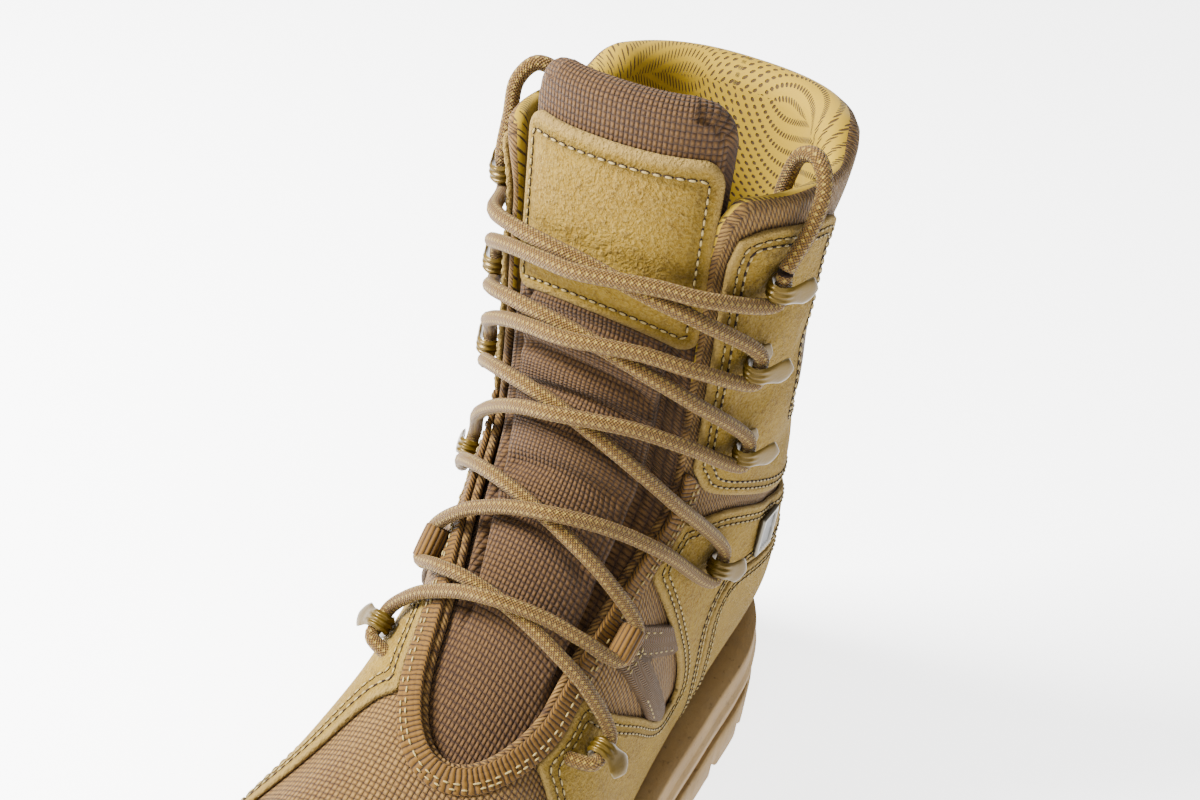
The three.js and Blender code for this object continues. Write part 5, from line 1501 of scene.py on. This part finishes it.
def floor_height(x):
    x = np.asarray(x, float)
    spring = TOE_SPRING * np.clip((x - TREAD_FRONT) / (SOLE_HALF - TREAD_FRONT), 0, 2) ** 1.6
    into = np.minimum((x - HEEL_BREAST) / BREAST_RUN, (TREAD_REAR - x) / (3 * BREAST_RUN))
    bevel = HEEL_BEVEL * np.clip((-SOLE_HALF + HEEL_BEVEL_RUN - x) / HEEL_BEVEL_RUN, 0, 1)
    return spring + ARCH_RISE * smooth(into) + bevel


sole_edge = sole_outline(10)
sole_x, sole_y = np.meshgrid(np.arange(-154.5, 155, 1.25), np.arange(-58.5, 59, 1.25), indexing="ij")
sole_field = outline_distance(sole_edge, sole_x, sole_y)
lug_shift = np.abs(sole_y) - SOLE_WIDTH * 0.16 - LUG_GROOVE
side_lug = lug_shift > 0
slant = np.where(side_lug, LUG_PITCH * 0.375 * np.abs(sole_y) / SOLE_WIDTH, 0)
nose = np.where(side_lug, 0, LUG_PITCH * 0.3 * (1 - np.abs(sole_y) / (SOLE_WIDTH * 0.16)))
place_in_row = (sole_x + slant - nose + SOLE_HALF) / LUG_PITCH - 0.55
off_lug = np.abs(place_in_row - np.round(place_in_row)) * LUG_PITCH - (LUG_PITCH - LUG_GROOVE) / 2
channel = np.where((lug_shift <= 0) & (np.abs(sole_y) > SOLE_WIDTH * 0.16), 1.0, 0.0)
on_arch = (sole_x > HEEL_BREAST) & (sole_x < TREAD_REAR - LUG_PITCH / 2)
cut_share = np.maximum(smooth((off_lug + 0.4) / 1.2), channel) * ~on_arch
sole_bottom_z = floor_height(sole_x) + LUG_DEPTH * cut_share
sole_under = np.stack([sole_x, sole_y, sole_bottom_z], -1)[:, ::-1]
sole_over = np.stack([sole_x, sole_y, np.maximum(split_height(sole_x), sole_bottom_z + 1)], -1)[:, ::-1]
sole_map = np.stack([sole_x, sole_y], -1)[:, ::-1]
SOLE_RIM = [(0.02, 0.02), (0.08, 0.05), (0.5, 0.05), (0.92, 0.05), (0.98, 0.02)]
outsole_mesh = sheet("outsole_rubber", sole_field[:, ::-1], 0.9, sole_under, sole_over, sole_map, False,
                     SOLE_RIM, (0, 0, 0))
outward_faces(outsole_mesh)


def rubber_material(name, light, dark, depth):
    material, tree, shader = start_material(name, 0.75)
    patches, grain = mottle(tree, 0.025, 0.0009)
    scuffs, pits = mottle(tree, 0.007, 0.0025)
    ground = blend_colours(tree, contrast(tree, patches, 0.3, 0.7), colour(dark), colour(light))
    dust = work_out(tree, "MULTIPLY", contrast(tree, scuffs, 0.5, 0.72), 0.35)
    ground = blend_colours(tree, dust, ground, colour("#b3a088"))
    shade = blend_colours(tree, work_out(tree, "MULTIPLY", contrast(tree, pits, 0.62, 0.75), 0.4),
                          ground, colour("#4d3f31"))
    finish_material(tree, shader, shade, work_out(tree, "ADD", grain, pits), depth)
    return material


outsole_rubber = rubber_material("outsole_rubber", "#dfc39c", "#c4a985", 0.0002)
place_piece("outsole_rubber", outsole_mesh, [outsole_rubber], ["outsole"])

# Midsole
# A moulded foam cup that laps the suede all round, with a rib along its side and a rounded lip.
MIDSOLE_INSET, MIDSOLE_RIB, RIB_HEIGHT = 1.6, 1.1, 4


def last_tree():
    """The suede's outer face as a closed skin, for finding it from the side."""
    rows, columns = grid_x.shape
    number = np.arange(rows * columns).reshape(rows, columns)
    faces = np.stack([number[:-1, :-1], number[:-1, 1:], number[1:, 1:], number[1:, :-1]], -1).reshape(-1, 4)
    return BVHTree.FromPolygons(suede_top.reshape(-1, 3).tolist(), faces.tolist())


skin_tree = last_tree()
ring = sole_outline(14)
ring_before, ring_after = np.roll(ring, 1, 0), np.roll(ring, -1, 0)
ring_normal = np.stack([(ring_after - ring_before)[:, 1], -(ring_after - ring_before)[:, 0]], 1)
ring_normal = unit(ring_normal)
split = split_height(ring[:, 0])
lip = cup_rim(ring[:, 0])


def reach_inwards(height, clearance):
    """How far in from the sole's outline the suede lies at a height."""
    reach = np.zeros(len(ring))
    for index, (spot, normal) in enumerate(zip(ring, ring_normal)):
        start = Vector((spot[0], spot[1], float(height[index])))
        inward = Vector((-normal[0], -normal[1], 0))
        hit = skin_tree.ray_cast(start, inward, 60)
        reach[index] = hit[3] - clearance if hit[3] is not None else 14
    padded = np.r_[reach[-4:], reach, reach[:4]]
    return np.convolve(padded, np.ones(9) / 9, "valid")


def ring_row(inset, height):
    spots = ring - ring_normal * np.asarray(inset).reshape(-1, 1)
    return np.column_stack([spots, np.broadcast_to(height, len(ring))])


lip_reach = reach_inwards(lip - 0.5, -0.6)
low_reach = reach_inwards(mix(split, lip, 0.6), -0.8)
floor_reach = np.maximum(low_reach, 6.0)
wall_rows = [ring_row(MIDSOLE_INSET + 9, split + 0.3), ring_row(MIDSOLE_INSET + 0.5, split + 0.3)]
side_profile = [
    (0.0, 0.1), (0.2, 0.14), (0.0, 0.28), (-0.25, 0.31), (-MIDSOLE_RIB, 0.36), (-MIDSOLE_RIB, 0.52),
    (-0.2, 0.57), (0.0, 0.62), (0.1, 0.8), (0.3, 0.9),
]
for inset, share in side_profile:
    wall_rows.append(ring_row(MIDSOLE_INSET + inset, mix(split, lip, share)))
wall_rows += [
    ring_row(MIDSOLE_INSET + 0.8, lip - 0.3),
    ring_row(mix(MIDSOLE_INSET + 0.8, lip_reach, 0.35), lip),
    ring_row(mix(MIDSOLE_INSET + 0.8, lip_reach, 0.8), lip - 0.1),
    ring_row(lip_reach, lip - 1.0), ring_row(low_reach, mix(split, lip, 0.6)),
    ring_row(floor_reach + 1, seat(ring[:, 0]) - 1),
]
rows_made = len(wall_rows)
cup_points = np.concatenate(wall_rows)
count = len(ring)
cup_faces = []
for row in range(rows_made - 1):
    for index in range(count):
        after = (index + 1) % count
        cup_faces.append((row * count + index, row * count + after,
                          (row + 1) * count + after, (row + 1) * count + index))
for row in (0, rows_made - 1):
    for index in range(count // 2):
        here, after = index, index + 1
        face = [row * count + i for i in (here, after, (count - after) % count, (count - here) % count)]
        if len(set(face)) > 2:
            cup_faces.append(tuple(dict.fromkeys(face)))
midsole_mesh = make_mesh("midsole_cup", cup_points, cup_faces)
outward_faces(midsole_mesh)
midsole_foam = rubber_material("midsole_foam", "#dabe98", "#bfa482", 0.00015)
place_piece("midsole_cup", midsole_mesh, [midsole_foam], ["midsole"])

# Insole
# A felt-topped footbed lying in the cup, crowned at its edge.
inner_tree = BVHTree.FromPolygons(
    wall_bottom.reshape(-1, 3).tolist(),
    np.stack([np.arange(grid_x.size).reshape(grid_x.shape)[a, b] for a, b in (
        (slice(None, -1), slice(None, -1)), (slice(None, -1), slice(1, None)),
        (slice(1, None), slice(1, None)), (slice(1, None), slice(None, -1)))], -1).reshape(-1, 4).tolist())
insole_x = np.linspace(-136, 138, 140)
insole_rows_outer, insole_rows_inner = [], []
for x in insole_x:
    top_z = float(seat(x)) + 4.5
    middle_y = 2.0 if x < 60 else mix(2.0, -5.0, (x - 60) / 80)
    reach = []
    for sign in (1, -1):
        hit = inner_tree.ray_cast(Vector((x, middle_y, top_z + 0.6)), Vector((0, sign, 0)), 90)
        reach.append(middle_y + sign * (hit[3] + 1.2 if hit[3] is not None else 4))
    across = np.linspace(-1, 1, 41)
    y = mix(reach[1], reach[0], (across + 1) / 2)
    dip = 0.6 * (1 - across ** 2)
    insole_rows_outer.append(np.column_stack([np.full(41, x), y, top_z - dip]))
    insole_rows_inner.append(np.column_stack([np.full(41, x), y, np.full(41, top_z - 4.3)]))
insole_top, insole_bottom = np.array(insole_rows_outer), np.array(insole_rows_inner)
insole_mesh = sheet("insole_footbed", np.ones(insole_top.shape[:2]), 0.5, insole_top, insole_bottom,
                    insole_top[..., :2], False, [(0.1, 0.1), (0.5, 0.14), (0.9, 0.1)], (0, 0, 0))
outward_faces(insole_mesh)
felt = plain_material("felt_footbed", "#3a322b", "#54493d", 0.95)
place_piece("insole_footbed", insole_mesh, [felt], ["insole"])

# Floor and light
# A plain white floor and white room, with two large soft lights above the boot.
floor_mesh = make_mesh("floor", [(-3000, -3000, 0), (3000, -3000, 0), (3000, 3000, 0), (-3000, 3000, 0)],
                       [(0, 1, 2, 3)])
floor = link("floor", floor_mesh)
floor_finish, floor_tree, floor_shader = start_material("white_floor", 0.9)
floor_shader.inputs["Base Color"].default_value = (0.97, 0.97, 0.97, 1)
floor_shader.inputs["Emission Color"].default_value = (1, 1, 1, 1)
floor_shader.inputs["Emission Strength"].default_value = 3.0
floor_mesh.materials.append(floor_finish)
world = bpy.data.worlds.new("white_room")
world.use_nodes = True
world.node_tree.nodes["Background"].inputs["Color"].default_value = (1, 1, 1, 1)
world.node_tree.nodes["Background"].inputs["Strength"].default_value = 0.62
bpy.context.scene.world = world
for name, place, size, power in (
    ("key_light", (0.35, -0.7, 0.9), 0.4, 88),
    ("fill_light", (0.7, 0.35, 0.9), 0.9, 8),
):
    light_data = bpy.data.lights.new(name, "AREA")
    light_data.size = size
    light_data.energy = power
    light = link(name, light_data)
    light.location = place
    light.rotation_euler = (Vector((-0.05, 0, 0.1)) - Vector(place)).to_track_quat("-Z", "Y").to_euler()
